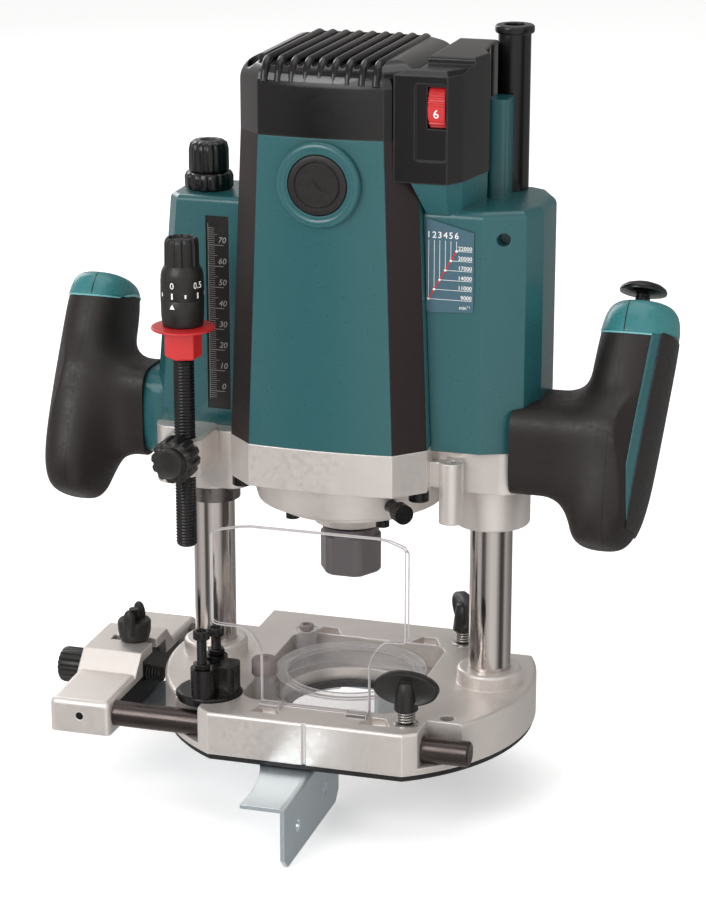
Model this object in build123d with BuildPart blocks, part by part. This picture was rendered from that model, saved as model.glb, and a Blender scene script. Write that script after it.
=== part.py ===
from build123d import *
import math
import os

# Plunge router. Origin: spindle axis at the underside of the sole plate.
# +X runs along the guide rods away from the fence, -Y is the operator's front, +Z is up the spindle.

os.makedirs("parts", exist_ok=True)

# ---- driving dimensions, millimetres ----
FIT = 0.05                      # radial running clearance

BASE_R = 89.5                   # round rim of the base
BASE_FRONT, BASE_REAR = -76.3, 62.5
SOLE_T = 3.0
BASE_TOP = 23.5
OPENING_R = 33.0                # cutter opening

COLUMN_X, COLUMN_R = 68.7, 10.0
COLUMN_BORE = 7.0
COLUMN_FOOT, COLUMN_TOP = 9.0, 176.0
COLLAR_R, COLLAR_TOP = 15.5, 31.0

ROD_R, ROD_Z = 6.0, 12.0
ROD_FRONT_Y, ROD_REAR_Y = -62.5, 44.0
ROD_LEFT, ROD_RIGHT = -125.0, 75.5
BOLT_X = 45.0                   # wing bolts that clamp the guide rods

TURRET_X, TURRET_Y, TURRET_R = -54.5, -50.5, 15.3
TURRET_SEAT = 21.0
STOP_R = 10.0                   # stops and depth rod stand on this radius of the turret
DEPTH_X, DEPTH_Y = TURRET_X - STOP_R, TURRET_Y
DEPTH_ROD_R = 5.0

BRACKET_TOP = 147.0
ARM_TOP = 145.0
SLEEVE_FOOT, SLEEVE_TOP = 103.6, 140.0
SLEEVE_R = 12.8
HOUSING_TOP = 290.0
COVER_TOP = 323.5
TOWER_TOP = 254.0
SWITCH_TOP, FIN_TOP = 257.0, 302.0
NECK_FOOT, NECK_TOP = 255.2, 271.5

NUT_FOOT, NUT_TOP, NUT_R = 73.5, 96.0, 14.5
SHANK_R = 6.0                   # 12 mm cutter shank

HOLDER_LEFT, HOLDER_RIGHT = -127.5, -97.5
FENCE_Y = (ROD_FRONT_Y + ROD_REAR_Y) / 2
FENCE_FACE = 4.0                # x of the face that the work runs along

HANDLE_X = 131.0
HANDLE_RAKE = 28.0              # degrees, tops lean back

DIAL_Y, DIAL_Z, DIAL_R = -33.5, 305.2, 12.0
GUARD_X, GUARD_Y = 70.0, 25.0   # cord guard

FOOT = (Align.CENTER, Align.CENTER, Align.MIN)   # solids that stand on their location

pieces = {}


def at_columns(z):
    """Both column axes at height z."""
    return Locations((-COLUMN_X, 0, z), (COLUMN_X, 0, z))


def base_outline(inset):
    """Round base cut flat in front and behind, shrunk by inset."""
    Circle(BASE_R - inset)
    depth = BASE_REAR - BASE_FRONT - 2 * inset
    with Locations((0, (BASE_REAR + BASE_FRONT) / 2)):
        Rectangle(2 * BASE_R, depth, mode=Mode.INTERSECT)


# ==== base ====
SOLE_SCREWS = [(-50, -30), (50, -32), (-50, 26), (50, 26)]

with BuildPart() as base_plate:
    with BuildSketch():
        base_outline(0.8)
        Circle(OPENING_R - 3, mode=Mode.SUBTRACT)
    extrude(amount=SOLE_T)
    chamfer(base_plate.faces().sort_by(Axis.Z)[0].outer_wire().edges(), 0.6)
    with BuildSketch():
        with Locations(*SOLE_SCREWS):
            Circle(4.3)
    extrude(amount=2.2, taper=45, mode=Mode.SUBTRACT)
    with BuildSketch():
        with Locations(*SOLE_SCREWS):
            Circle(2.2)
    extrude(amount=SOLE_T, mode=Mode.SUBTRACT)
pieces["base_plate"] = base_plate

RECESS_X, RECESS_FRONT, RECESS_REAR, RECESS_Z = 39.0, -54.0, 37.0, 9.0
NOTCH_X = 53.0                  # rods come out of the casting here
FRONT_POCKETS = [(-22, -64), (31, -64)]
REAR_POCKETS = [(-24, 42), (27, 42)]

with BuildPart() as base_casting:
    with BuildSketch(Plane.XY.offset(SOLE_T)):
        base_outline(0)
    extrude(amount=BASE_TOP - SOLE_T)
    fillet(base_casting.faces().sort_by(Axis.Z)[-1].outer_wire().edges(), 1.6)
    with at_columns(SOLE_T):
        Cylinder(COLLAR_R, COLLAR_TOP - SOLE_T, align=FOOT)
    top_rims = base_casting.edges().filter_by(GeomType.CIRCLE)
    top_rims = top_rims.filter_by_position(Axis.Z, COLLAR_TOP - 0.1, COLLAR_TOP + 0.1)
    fillet(top_rims, 1.8)
    # recess for the dust nozzle, then the opening
    with BuildSketch(Plane.XY.offset(RECESS_Z)):
        with Locations((0, (RECESS_FRONT + RECESS_REAR) / 2)):
            RectangleRounded(2 * RECESS_X, RECESS_REAR - RECESS_FRONT, 9)
    extrude(amount=BASE_TOP, mode=Mode.SUBTRACT)
    Cylinder(OPENING_R, 60, mode=Mode.SUBTRACT)
    # lightening pockets in the front and rear ribs, above and between the rods
    with BuildSketch(Plane.XY.offset(19.5)):
        with Locations(*FRONT_POCKETS, *REAR_POCKETS):
            Trapezoid(15, 9, 65)
    extrude(amount=BASE_TOP, mode=Mode.SUBTRACT)
    # centre mark grooves of the front face
    with BuildSketch(Plane.XY.offset(SOLE_T)):
        with Locations((0, BASE_FRONT)):
            Circle(1.0)
    extrude(amount=BASE_TOP, mode=Mode.SUBTRACT)
    # corner notches that free the rods, rod bores and wing bolt holes
    for sx in (-1, 1):
        with Locations((sx * (NOTCH_X + 25), ROD_FRONT_Y - 15 + 6.5, 6 + 15)):
            Box(50, 30, 30, mode=Mode.SUBTRACT)
        with Locations((sx * (NOTCH_X + 31), ROD_REAR_Y + 15 - 7.0, 6 + 15)):
            Box(50, 30, 30, mode=Mode.SUBTRACT)
    for y in (ROD_FRONT_Y, ROD_REAR_Y):
        with Locations(Location((0, y, ROD_Z), (0, 90, 0))):
            Cylinder(ROD_R + FIT, 200, mode=Mode.SUBTRACT)
        with Locations((BOLT_X, y, BASE_TOP)):
            Cylinder(3.0 + FIT, 12, mode=Mode.SUBTRACT)
            Cylinder(4.4, 5, mode=Mode.SUBTRACT)
    # columns, their bolts, sole screws, turret seat, table-mount hole
    with at_columns(COLUMN_FOOT):
        Cylinder(COLUMN_R, 40, align=FOOT, mode=Mode.SUBTRACT)
    with at_columns(SOLE_T):
        Cylinder(5.2, 4.6, align=FOOT, mode=Mode.SUBTRACT)
        Cylinder(3.1, 8, align=FOOT, mode=Mode.SUBTRACT)
    with BuildSketch(Plane.XY.offset(SOLE_T)):
        with Locations(*SOLE_SCREWS):
            Circle(2.1)
    extrude(amount=7, mode=Mode.SUBTRACT)
    with Locations((TURRET_X, TURRET_Y, TURRET_SEAT)):
        Cylinder(TURRET_R + 0.6, 10, align=FOOT, mode=Mode.SUBTRACT)
        Cylinder(2.6, 12, align=(Align.CENTER, Align.CENTER, Align.CENTER), mode=Mode.SUBTRACT)
    with Locations((61.4, -51.1, BASE_TOP)):
        Cylinder(3.4, 24, mode=Mode.SUBTRACT)
pieces["base_casting"] = base_casting

with BuildPart() as columns:
    with at_columns(COLUMN_FOOT):
        Cylinder(COLUMN_R, COLUMN_TOP - COLUMN_FOOT, align=FOOT)
    chamfer(columns.edges().group_by(Axis.Z)[-1], 1.0)
    with at_columns(28.0):
        Cylinder(COLUMN_BORE, 160, align=FOOT, mode=Mode.SUBTRACT)
    with at_columns(COLUMN_FOOT):
        Cylinder(3.0, 15, align=FOOT, mode=Mode.SUBTRACT)
pieces["columns"] = columns

with BuildPart() as base_screws:
    # countersunk sole screws
    with BuildSketch(Plane.XY.offset(0.2)):
        with Locations(*SOLE_SCREWS):
            Circle(4.0)
    extrude(amount=2.0, taper=45)
    with BuildSketch(Plane.XY.offset(0.2)):
        with Locations(*SOLE_SCREWS):
            Circle(2.0)
    extrude(amount=8.8)
    with BuildSketch(Plane.XY.offset(0.2)):
        with Locations(*SOLE_SCREWS):
            Rectangle(4.6, 0.9)
            Rectangle(0.9, 4.6)
    extrude(amount=1.0, mode=Mode.SUBTRACT)
    # socket bolts up into the columns
    with at_columns(SOLE_T + 0.3):
        Cylinder(5.0, 4.2, align=FOOT)
        Cylinder(2.95, 18, align=FOOT)
        Cylinder(2.3, 2.4, align=FOOT, mode=Mode.SUBTRACT)
pieces["base_screws"] = base_screws

SPRING_FOOT, SPRING_LENGTH, SPRING_R, SPRING_WIRE = 28.9, 220.0, 5.8, 0.75

with BuildPart() as return_springs:
    for side in (-1, 1):
        coil_centre = (side * COLUMN_X, 0, SPRING_FOOT)
        coil_start = (side * COLUMN_X + SPRING_R, 0, SPRING_FOOT)
        with BuildLine():
            Helix(pitch=10.0, height=SPRING_LENGTH, radius=SPRING_R, center=coil_centre)
        with BuildSketch(Plane(origin=coil_start, z_dir=(0, 1, 0))):
            Circle(SPRING_WIRE)
        sweep(is_frenet=True)
pieces["return_springs"] = return_springs

with BuildPart() as height_limit_rod:
    with Locations((-COLUMN_X, 0, 28.0)):
        Cylinder(4.0, 247.0, align=FOOT)
    chamfer(height_limit_rod.edges().group_by(Axis.Z)[-1], 0.8)
pieces["height_limit_rod"] = height_limit_rod

with BuildPart() as height_limit_nut:
    with BuildSketch(Plane.XY.offset(TOWER_TOP + 0.2)):
        with Locations((-COLUMN_X, 0)):
            Circle(11.4)
            with PolarLocations(11.4, 20):
                Circle(0.55, mode=Mode.SUBTRACT)
            Circle(4.0 + FIT, mode=Mode.SUBTRACT)
    extrude(amount=8.3)
    chamfer(height_limit_nut.faces().sort_by(Axis.Z)[-1].outer_wire().edges(), 0.4)
pieces["height_limit_nut"] = height_limit_nut

with BuildPart() as height_lock_nut:
    with BuildSketch(Plane.XY.offset(TOWER_TOP + 8.7)):
        with Locations((-COLUMN_X, 0)):
            Circle(9.4)
            with PolarLocations(9.4, 18):
                Circle(0.55, mode=Mode.SUBTRACT)
            Circle(4.0 + FIT, mode=Mode.SUBTRACT)
    extrude(amount=13.5)
    with Locations((-COLUMN_X, 0, TOWER_TOP + 21.6)):
        Cylinder(7.4, 1.2, align=FOOT)
pieces["height_lock_nut"] = height_lock_nut

# ---- wing bolts that clamp the guide rods ----
WINGS = (("wing_bolt_front", ROD_FRONT_Y), ("wing_bolt_rear", ROD_REAR_Y))
for label, y in WINGS:
    with BuildPart() as wing_bolt:
        with Locations((BOLT_X, y, 18.3)):
            Cylinder(3.0, 13.5, align=FOOT)
        with Locations((BOLT_X, y, 30.5)):
            Cone(5.6, 4.0, 12, align=FOOT)
        with BuildSketch(Plane.XZ.offset(-y)):
            with Locations((BOLT_X, 41.0)):
                Ellipse(15.3, 8.0)
        extrude(amount=2.6, both=True)
        fillet(wing_bolt.edges().filter_by(Plane.XZ).sort_by(Axis.Y)[0], 1.2)
        fillet(wing_bolt.edges().filter_by(Plane.XZ).sort_by(Axis.Y)[-1], 1.2)
    pieces[label] = wing_bolt

with BuildPart() as clamp_springs:
    for _, y in WINGS:
        with Locations((BOLT_X, y, 21.4)):
            Cylinder(4.1, 9.0, align=FOOT)
            Cylinder(3.0 + FIT, 9.0, align=FOOT, mode=Mode.SUBTRACT)
        for turn in range(4):
            with Locations((BOLT_X, y, 23.4 + 1.9 * turn)):
                Torus(4.5, 0.6, mode=Mode.SUBTRACT)
pieces["clamp_springs"] = clamp_springs

# ---- turret ----
with BuildPart() as turret_screw:
    with Locations((TURRET_X, TURRET_Y, TURRET_SEAT - 5.5)):
        Cylinder(2.55, 17.8, align=FOOT)
    with Locations((TURRET_X, TURRET_Y, TURRET_SEAT + 12.1)):
        Cylinder(4.4, 2.4, align=FOOT)
    with Locations((TURRET_X, TURRET_Y, TURRET_SEAT + 13.5)):
        Box(9, 1.2, 4, align=FOOT, mode=Mode.SUBTRACT)
pieces["turret_screw"] = turret_screw

# stops: bare flange under the depth rod (180 degrees), bolts at 270 and 90, fixed step at 0
BOLT_STOPS = ((270, 57.5), (90, 52.0))

with BuildPart() as stopper_block:
    with Locations((TURRET_X, TURRET_Y, TURRET_SEAT + 0.05)):
        Cylinder(TURRET_R, 4.0, align=FOOT)
    fillet(stopper_block.edges().group_by(Axis.Z)[-1], 1.2)
    with BuildSketch(Plane.XY.offset(TURRET_SEAT + 0.05)):
        with Locations((TURRET_X, TURRET_Y)):
            Circle(7.0)
            with PolarLocations(STOP_R - 1.5, 2, start_angle=90):
                Circle(6.0)
            with Locations((7, 0)):
                RectangleRounded(14, 13, 3)
    extrude(amount=17.5)
    with BuildSketch(Plane.XY.offset(TURRET_SEAT + 12)):
        with Locations((TURRET_X, TURRET_Y)):
            Circle(5.0)
    extrude(amount=30, mode=Mode.SUBTRACT)
    # bare stop: the depth rod comes down on the flange here
    with Locations((DEPTH_X, DEPTH_Y, TURRET_SEAT + 4.05)):
        Cylinder(DEPTH_ROD_R + 0.6, 30, align=FOOT, mode=Mode.SUBTRACT)
    with Locations((TURRET_X, TURRET_Y, TURRET_SEAT)):
        Cylinder(2.55 + FIT, 20, align=FOOT, mode=Mode.SUBTRACT)
    for angle, _ in BOLT_STOPS:
        a = math.radians(angle)
        spot = (TURRET_X + STOP_R * math.cos(a), TURRET_Y + STOP_R * math.sin(a), TURRET_SEAT + 6)
        with Locations(spot):
            Cylinder(2.55, 30, align=FOOT, mode=Mode.SUBTRACT)
pieces["stopper_block"] = stopper_block

with BuildPart() as stop_bolts:
    for angle, top in BOLT_STOPS:
        a = math.radians(angle)
        x, y = TURRET_X + STOP_R * math.cos(a), TURRET_Y + STOP_R * math.sin(a)
        with Locations((x, y, TURRET_SEAT + 8)):
            Cylinder(2.5, top - TURRET_SEAT - 9, align=FOOT)
        with BuildSketch(Plane.XY.offset(top - 4)):
            with Locations((x, y)):
                RegularPolygon(4.3, 6)
        extrude(amount=4)
        # lock nut
        with BuildSketch(Plane.XY.offset(TURRET_SEAT + 17.7)):
            with Locations((x, y)):
                RegularPolygon(4.3, 6)
                Circle(2.52, mode=Mode.SUBTRACT)
        extrude(amount=3)
pieces["stop_bolts"] = stop_bolts

# ---- clear parts ----
DEFLECTOR_Y, DEFLECTOR_T = -57.5, 2.0
DEFLECTOR_TOP, SKIRT_LEG = 110.0, 26.0

with BuildPart() as chip_deflector:
    with BuildSketch(Plane.XY.offset(BASE_TOP)):
        with BuildLine():
            Polyline((-46.5, DEFLECTOR_Y - 10), (-36, DEFLECTOR_Y - 2), (-30.5, DEFLECTOR_Y),
                     (30.5, DEFLECTOR_Y), (36, DEFLECTOR_Y - 2), (46.5, DEFLECTOR_Y - 10))
        trace(line_width=DEFLECTOR_T)
    extrude(amount=DEFLECTOR_TOP - BASE_TOP)
    with BuildSketch(Plane.XZ.offset(-DEFLECTOR_Y - 40)):
        with BuildLine():
            for sx in (-1, 1):
                Line((sx * SKIRT_LEG, BASE_TOP), (sx * SKIRT_LEG, 47))
                ThreePointArc((sx * SKIRT_LEG, 47), (sx * (SKIRT_LEG + 3.5), 56), (sx * 34.5, 61))
                Line((sx * 34.5, 61), (sx * 43.5, 64))
                ThreePointArc((sx * 43.5, 64), (sx * 46.3, 66), (sx * 47.5, 69.5))
                Line((sx * 47.5, 69.5), (sx * 47.5, DEFLECTOR_TOP - 4))
                ThreePointArc((sx * 47.5, DEFLECTOR_TOP - 4), (sx * 46.3, DEFLECTOR_TOP - 1.2),
                              (sx * 43.5, DEFLECTOR_TOP))
            Line((-43.5, DEFLECTOR_TOP), (43.5, DEFLECTOR_TOP))
            Line((-SKIRT_LEG, BASE_TOP), (SKIRT_LEG, BASE_TOP))
        make_face()
    extrude(amount=60, mode=Mode.INTERSECT)
    for sx in (-1, 1):
        with Locations((sx * (SKIRT_LEG - 5), DEFLECTOR_Y - 2.5, BASE_TOP)):
            Box(10, 7, 2, align=FOOT)
pieces["chip_deflector"] = chip_deflector

NOZZLE_IN, NOZZLE_OUT = 31.0, 36.5
NOZZLE_POST = (-33.0, -33.0)
NOZZLE_BOSS = (-31.5, 29.0)

with BuildPart() as dust_nozzle:
    with BuildSketch(Plane.XY.offset(RECESS_Z)):
        with Locations((0, (RECESS_FRONT + RECESS_REAR) / 2)):
            RectangleRounded(2 * RECESS_X - 0.8, RECESS_REAR - RECESS_FRONT - 0.8, 8.6)
        Circle(NOZZLE_OUT, mode=Mode.SUBTRACT)
    extrude(amount=2.5)
    with BuildSketch(Plane.XY.offset(RECESS_Z)):
        Circle(NOZZLE_OUT)
        Circle(NOZZLE_OUT - 2, mode=Mode.SUBTRACT)
    extrude(amount=12.5)
    with BuildSketch(Plane.XY.offset(RECESS_Z + 10.5)):
        Circle(NOZZLE_OUT)
        Circle(NOZZLE_IN, mode=Mode.SUBTRACT)
    extrude(amount=2)
    with Locations((*NOZZLE_POST, RECESS_Z), (*NOZZLE_BOSS, RECESS_Z)):
        Cylinder(5.2, 19, align=FOOT)
        Cylinder(2.2, 19, align=FOOT, mode=Mode.SUBTRACT)
pieces["dust_nozzle"] = dust_nozzle

with BuildPart() as nozzle_screws:
    # thumbscrew in front, socket screw behind
    with Locations((*NOZZLE_POST, RECESS_Z + 0.2)):
        Cylinder(2.15, 22, align=FOOT)
    with Locations((*NOZZLE_POST, RECESS_Z + 19.1)):
        Cylinder(6.2, 8, align=FOOT)
    fillet(nozzle_screws.edges().group_by(Axis.Z)[-1], 1.2)
    with Locations((*NOZZLE_BOSS, RECESS_Z + 0.2)):
        Cylinder(2.15, 20, align=FOOT)
    with Locations((*NOZZLE_BOSS, RECESS_Z + 19.1)):
        Cylinder(3.6, 2.6, align=FOOT)
    with BuildSketch(Plane.XY.offset(RECESS_Z + 20)):
        with Locations(NOZZLE_BOSS):
            RegularPolygon(1.8, 6)
    extrude(amount=4, mode=Mode.SUBTRACT)
pieces["nozzle_screws"] = nozzle_screws

# ==== side fence ====
with BuildPart() as guide_rods:
    with BuildSketch(Plane.YZ.offset(ROD_LEFT)):
        with Locations((ROD_FRONT_Y, ROD_Z), (ROD_REAR_Y, ROD_Z)):
            Circle(ROD_R)
    extrude(amount=ROD_RIGHT - ROD_LEFT)
    chamfer(guide_rods.edges().filter_by(GeomType.CIRCLE), 0.8)
pieces["guide_rods"] = guide_rods

HOLDER_FOOT, HOLDER_LOW, HOLDER_HIGH = 3.4, 19.6, 28.6
HOLDER_END, PLATEAU, SLOPE = 62.0, 17.5, 8.0   # half lengths about FENCE_Y, width of the slopes
SCREW_Z = 11.5
HOLDER_WIDTH = HOLDER_RIGHT - HOLDER_LEFT

with BuildPart() as guide_holder:
    with BuildSketch(Plane.YZ.offset(HOLDER_LEFT)):
        with BuildLine():
            near, far = FENCE_Y - HOLDER_END, FENCE_Y + HOLDER_END
            step_near, step_far = FENCE_Y - PLATEAU, FENCE_Y + PLATEAU
            Polyline((near, HOLDER_FOOT), (near, HOLDER_LOW), (step_near - SLOPE, HOLDER_LOW + 0.8),
                     (step_near, HOLDER_HIGH), (step_far, HOLDER_HIGH),
                     (step_far + SLOPE, HOLDER_LOW + 0.8), (far, HOLDER_LOW), (far, HOLDER_FOOT), close=True)
        make_face()
    extrude(amount=HOLDER_WIDTH)
    long_edges = guide_holder.edges().filter_by(Axis.X)
    fillet(long_edges.group_by(Axis.Y)[0].sort_by(Axis.Z)[-1], 3.0)
    fillet(guide_holder.edges().filter_by(Axis.X).group_by(Axis.Y)[-1].sort_by(Axis.Z)[-1], 3.0)
    fillet(guide_holder.edges().filter_by(Axis.Z), 2.5)
    # channel for the slider, open below and towards the base
    with Locations((HOLDER_RIGHT, FENCE_Y, 0)):
        Box(24, 94, 16.4, align=(Align.MAX, Align.CENTER, Align.MIN), mode=Mode.SUBTRACT)
        Box(24, 33, 24.0, align=(Align.MAX, Align.CENTER, Align.MIN), mode=Mode.SUBTRACT)
    for y in (ROD_FRONT_Y, ROD_REAR_Y):
        with Locations(Location((HOLDER_RIGHT, y, ROD_Z), (0, 90, 0))):
            Cylinder(ROD_R, 2 * (HOLDER_RIGHT - ROD_LEFT), mode=Mode.SUBTRACT)
    # set screw holes from the ends, stud slot on top, fine screw bore in the back wall
    for sy in (-1, 1):
        with Locations(Location((-112.5, FENCE_Y + sy * HOLDER_END, ROD_Z), (90, 0, 0))):
            Cylinder(1.9, 12, mode=Mode.SUBTRACT)
    with Locations((-108, FENCE_Y, HOLDER_HIGH)):
        Box(22, 6.4, 20, mode=Mode.SUBTRACT)
    with Locations(Location((HOLDER_LEFT, FENCE_Y, SCREW_Z), (0, 90, 0))):
        Cylinder(3.5 + FIT, 20, mode=Mode.SUBTRACT)
pieces["guide_holder"] = guide_holder

with BuildPart() as rod_set_screws:
    for sy, y in ((-1, ROD_FRONT_Y - ROD_R), (1, ROD_REAR_Y + ROD_R)):
        with Locations(Location((-112.5, y + sy * 1.25, ROD_Z), (90, 0, 0))):
            Cylinder(1.85, 2.3)
pieces["rod_set_screws"] = rod_set_screws

with BuildPart() as fine_adjust_screw:
    with BuildSketch(Plane.YZ.offset(-146.0)):
        with Locations((FENCE_Y, SCREW_Z)):
            Circle(8.8)
            with PolarLocations(9.0, 18):
                Circle(0.7, mode=Mode.SUBTRACT)
    extrude(amount=17.0)
    with BuildSketch(Plane.YZ.offset(-130.0)):
        with Locations((FENCE_Y, SCREW_Z)):
            Circle(3.5)
    extrude(amount=8.6)
    with BuildSketch(Plane.YZ.offset(-121.4)):
        with Locations((FENCE_Y, SCREW_Z)):
            Circle(4.2)
    extrude(amount=28.4)
pieces["fine_adjust_screw"] = fine_adjust_screw

CARRIER_RIGHT = -101.2          # slider stays clear of the base when both slides are in
SLIDER_X = -107.7

with BuildPart() as fence_slider:
    with Locations((CARRIER_RIGHT, FENCE_Y, 0.3)):
        Box(13.0, 88, 15.6, align=(Align.MAX, Align.CENTER, Align.MIN))
        Box(13.0, 32, 23.2, align=(Align.MAX, Align.CENTER, Align.MIN))
    with BuildSketch(Plane.YZ.offset(CARRIER_RIGHT - 14)):
        with Locations((FENCE_Y, SCREW_Z)):
            Circle(4.2 + FIT)
    extrude(amount=16, mode=Mode.SUBTRACT)
    for y in (ROD_FRONT_Y, ROD_REAR_Y):
        with Locations(Location((CARRIER_RIGHT, y, ROD_Z), (0, 90, 0))):
            Cylinder(ROD_R + 2, 60, mode=Mode.SUBTRACT)
    with Locations((SLIDER_X, FENCE_Y, 23.5)):
        Cylinder(2.5, 3.2, align=(Align.CENTER, Align.CENTER, Align.MAX), mode=Mode.SUBTRACT)
    with Locations((SLIDER_X, FENCE_Y - 13, 0), (SLIDER_X, FENCE_Y + 13, 0)):
        Cylinder(2.0, 12, mode=Mode.SUBTRACT)
pieces["fence_slider"] = fence_slider

with BuildPart() as fence_wing_nut:
    with Locations((SLIDER_X, FENCE_Y, HOLDER_HIGH + 0.1)):
        Cone(7.0, 8.2, 5, align=FOOT)
    with Locations((SLIDER_X, FENCE_Y, HOLDER_HIGH + 5.1)):
        Cylinder(8.2, 5.5, align=FOOT)
    for sy in (-1, 1):
        with Locations((SLIDER_X, FENCE_Y + sy * 6.0, HOLDER_HIGH + 5)):
            Cylinder(2.9, 12.5, align=FOOT)
    fillet(fence_wing_nut.edges().group_by(Axis.Z)[-1], 1.8)
    with Locations((SLIDER_X, FENCE_Y, HOLDER_HIGH)):
        Cylinder(2.5 + FIT, 30, align=FOOT, mode=Mode.SUBTRACT)
pieces["fence_wing_nut"] = fence_wing_nut

PLATE_T, PLATE_TOP, PLATE_FOOT = 2.0, -0.6, -31.0
PLATE_NEAR, PLATE_FAR, PLATE_GAP = -118.0, 97.0, 34.0
FLANGE_TIP, ARM_HALF = -17.0, 10.0
FACING_HOLES = (-98, -56, 56, 84)

with BuildPart() as fence_plate:
    with BuildSketch(Plane.XY.offset(PLATE_TOP - PLATE_T)):
        with BuildLine():
            Line((FENCE_FACE, PLATE_NEAR), (FLANGE_TIP, PLATE_NEAR))
            ThreePointArc((FLANGE_TIP, PLATE_NEAR), (-22, -74), (-50, FENCE_Y - ARM_HALF - 14))
            Line((-50, FENCE_Y - ARM_HALF - 14), (-114, FENCE_Y - ARM_HALF - 10))
            Line((-114, FENCE_Y - ARM_HALF - 10), (-114, FENCE_Y + ARM_HALF + 10))
            Line((-114, FENCE_Y + ARM_HALF + 10), (-50, FENCE_Y + ARM_HALF + 14))
            ThreePointArc((-50, FENCE_Y + ARM_HALF + 14), (-22, 58), (FLANGE_TIP, PLATE_FAR))
            Line((FLANGE_TIP, PLATE_FAR), (FENCE_FACE, PLATE_FAR))
            Line((FENCE_FACE, PLATE_FAR), (FENCE_FACE, PLATE_NEAR))
        make_face()
        Circle(PLATE_GAP, mode=Mode.SUBTRACT)
        with Locations((0, 0)):
            Rectangle(30, 2 * PLATE_GAP, mode=Mode.SUBTRACT)
        with Locations((SLIDER_X, FENCE_Y - 13), (SLIDER_X, FENCE_Y + 13)):
            Circle(2.2, mode=Mode.SUBTRACT)
    extrude(amount=PLATE_T)
    for near, far in ((PLATE_NEAR, -PLATE_GAP), (PLATE_GAP, PLATE_FAR)):
        with BuildSketch(Plane.YZ.offset(FENCE_FACE - PLATE_T)):
            with Locations(((near + far) / 2, (PLATE_TOP + PLATE_FOOT) / 2)):
                Rectangle(far - near, PLATE_TOP - PLATE_FOOT)
        extrude(amount=PLATE_T)
    bend_edges = fence_plate.edges().filter_by(Axis.Y).group_by(Axis.X)[-1].group_by(Axis.Z)[-1]
    fillet(bend_edges, 2.8)
    for y in FACING_HOLES:
        with Locations(Location((FENCE_FACE, y, -17.0), (0, 90, 0))):
            Cylinder(3.0, 3 * PLATE_T, mode=Mode.SUBTRACT)
    chamfer(fence_plate.edges().filter_by(Axis.X).group_by(Axis.Z)[0], 5)
pieces["fence_plate"] = fence_plate

with BuildPart() as slider_fasteners:
    # stud for the wing nut, two screws that hold the fence plate
    with Locations((SLIDER_X, FENCE_Y, 20.4)):
        Cylinder(2.5, 24, align=FOOT)
    for y in (FENCE_Y - 13, FENCE_Y + 13):
        with Locations((SLIDER_X, y, PLATE_TOP - PLATE_T - 2.2)):
            Cylinder(4.0, 2.2, align=FOOT)
            Cylinder(1.95, 9, align=FOOT)
pieces["slider_fasteners"] = slider_fasteners


# ==== plunging motor unit ====
RAKE = math.radians(HANDLE_RAKE)
HOUSING_FOOT = BRACKET_TOP + 0.05
FOOT_SECTION = (34.0, 46.8, 51.5)       # half width of panel, half width, half depth
HEAD_SECTION = (29.0, 41.0, 49.0)
STRIP_T = 2.5
BRUSH_Z = 269.7
FIELD_R = 38.0                          # bore of the housing, outside of the field core
WEB_FOOT = 282.0                        # web that holds the upper bearing


def motor_section(panel, side, front, grow=0.0):
    """Motor housing section: bowed front and rear panels, slanted corners, flat sides."""
    f, s, p = front + grow, side + grow, panel + grow / 2
    c = f - 2 - (s - p)
    with BuildSketch(mode=Mode.PRIVATE) as section:
        with BuildLine():
            for sy in (-1, 1):
                ThreePointArc((-p, sy * (f - 2)), (0, sy * f), (p, sy * (f - 2)))
                for sx in (-1, 1):
                    Line((sx * p, sy * (f - 2)), (sx * s, sy * c))
            for sx in (-1, 1):
                Line((sx * s, -c), (sx * s, c))
        make_face()
    return section.sketch


def corner_quad(panel, side, front, sx, sy):
    """Section of one corner strip, sx and sy pick the corner."""
    c = front - 2 - (side - panel)
    step = STRIP_T * math.sqrt(0.5)
    a, b = (sx * panel, sy * (front - 2)), (sx * side, sy * c)
    a_in, b_in = (a[0] - sx * step, a[1] - sy * step), (b[0] - sx * step, b[1] - sy * step)
    Polygon(a, b, b_in, a_in, align=None)


def ring_at(x, y, z, outer, inner, height):
    """A tube standing at x, y, z."""
    with Locations((x, y, z)):
        Cylinder(outer, height, align=FOOT)
        Cylinder(inner, height, align=FOOT, mode=Mode.SUBTRACT)


# ---- motor bracket casting ----
CLAMP_Z, CLAMP_FRONT = 141.0, -60.0
POST_X, POST_Y = 57.0, -31.0
LOCK_Z = 128.0
PIN_ANGLE, PIN_Z = -49.8, 118.5          # spindle lock pin, degrees about the spindle

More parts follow.
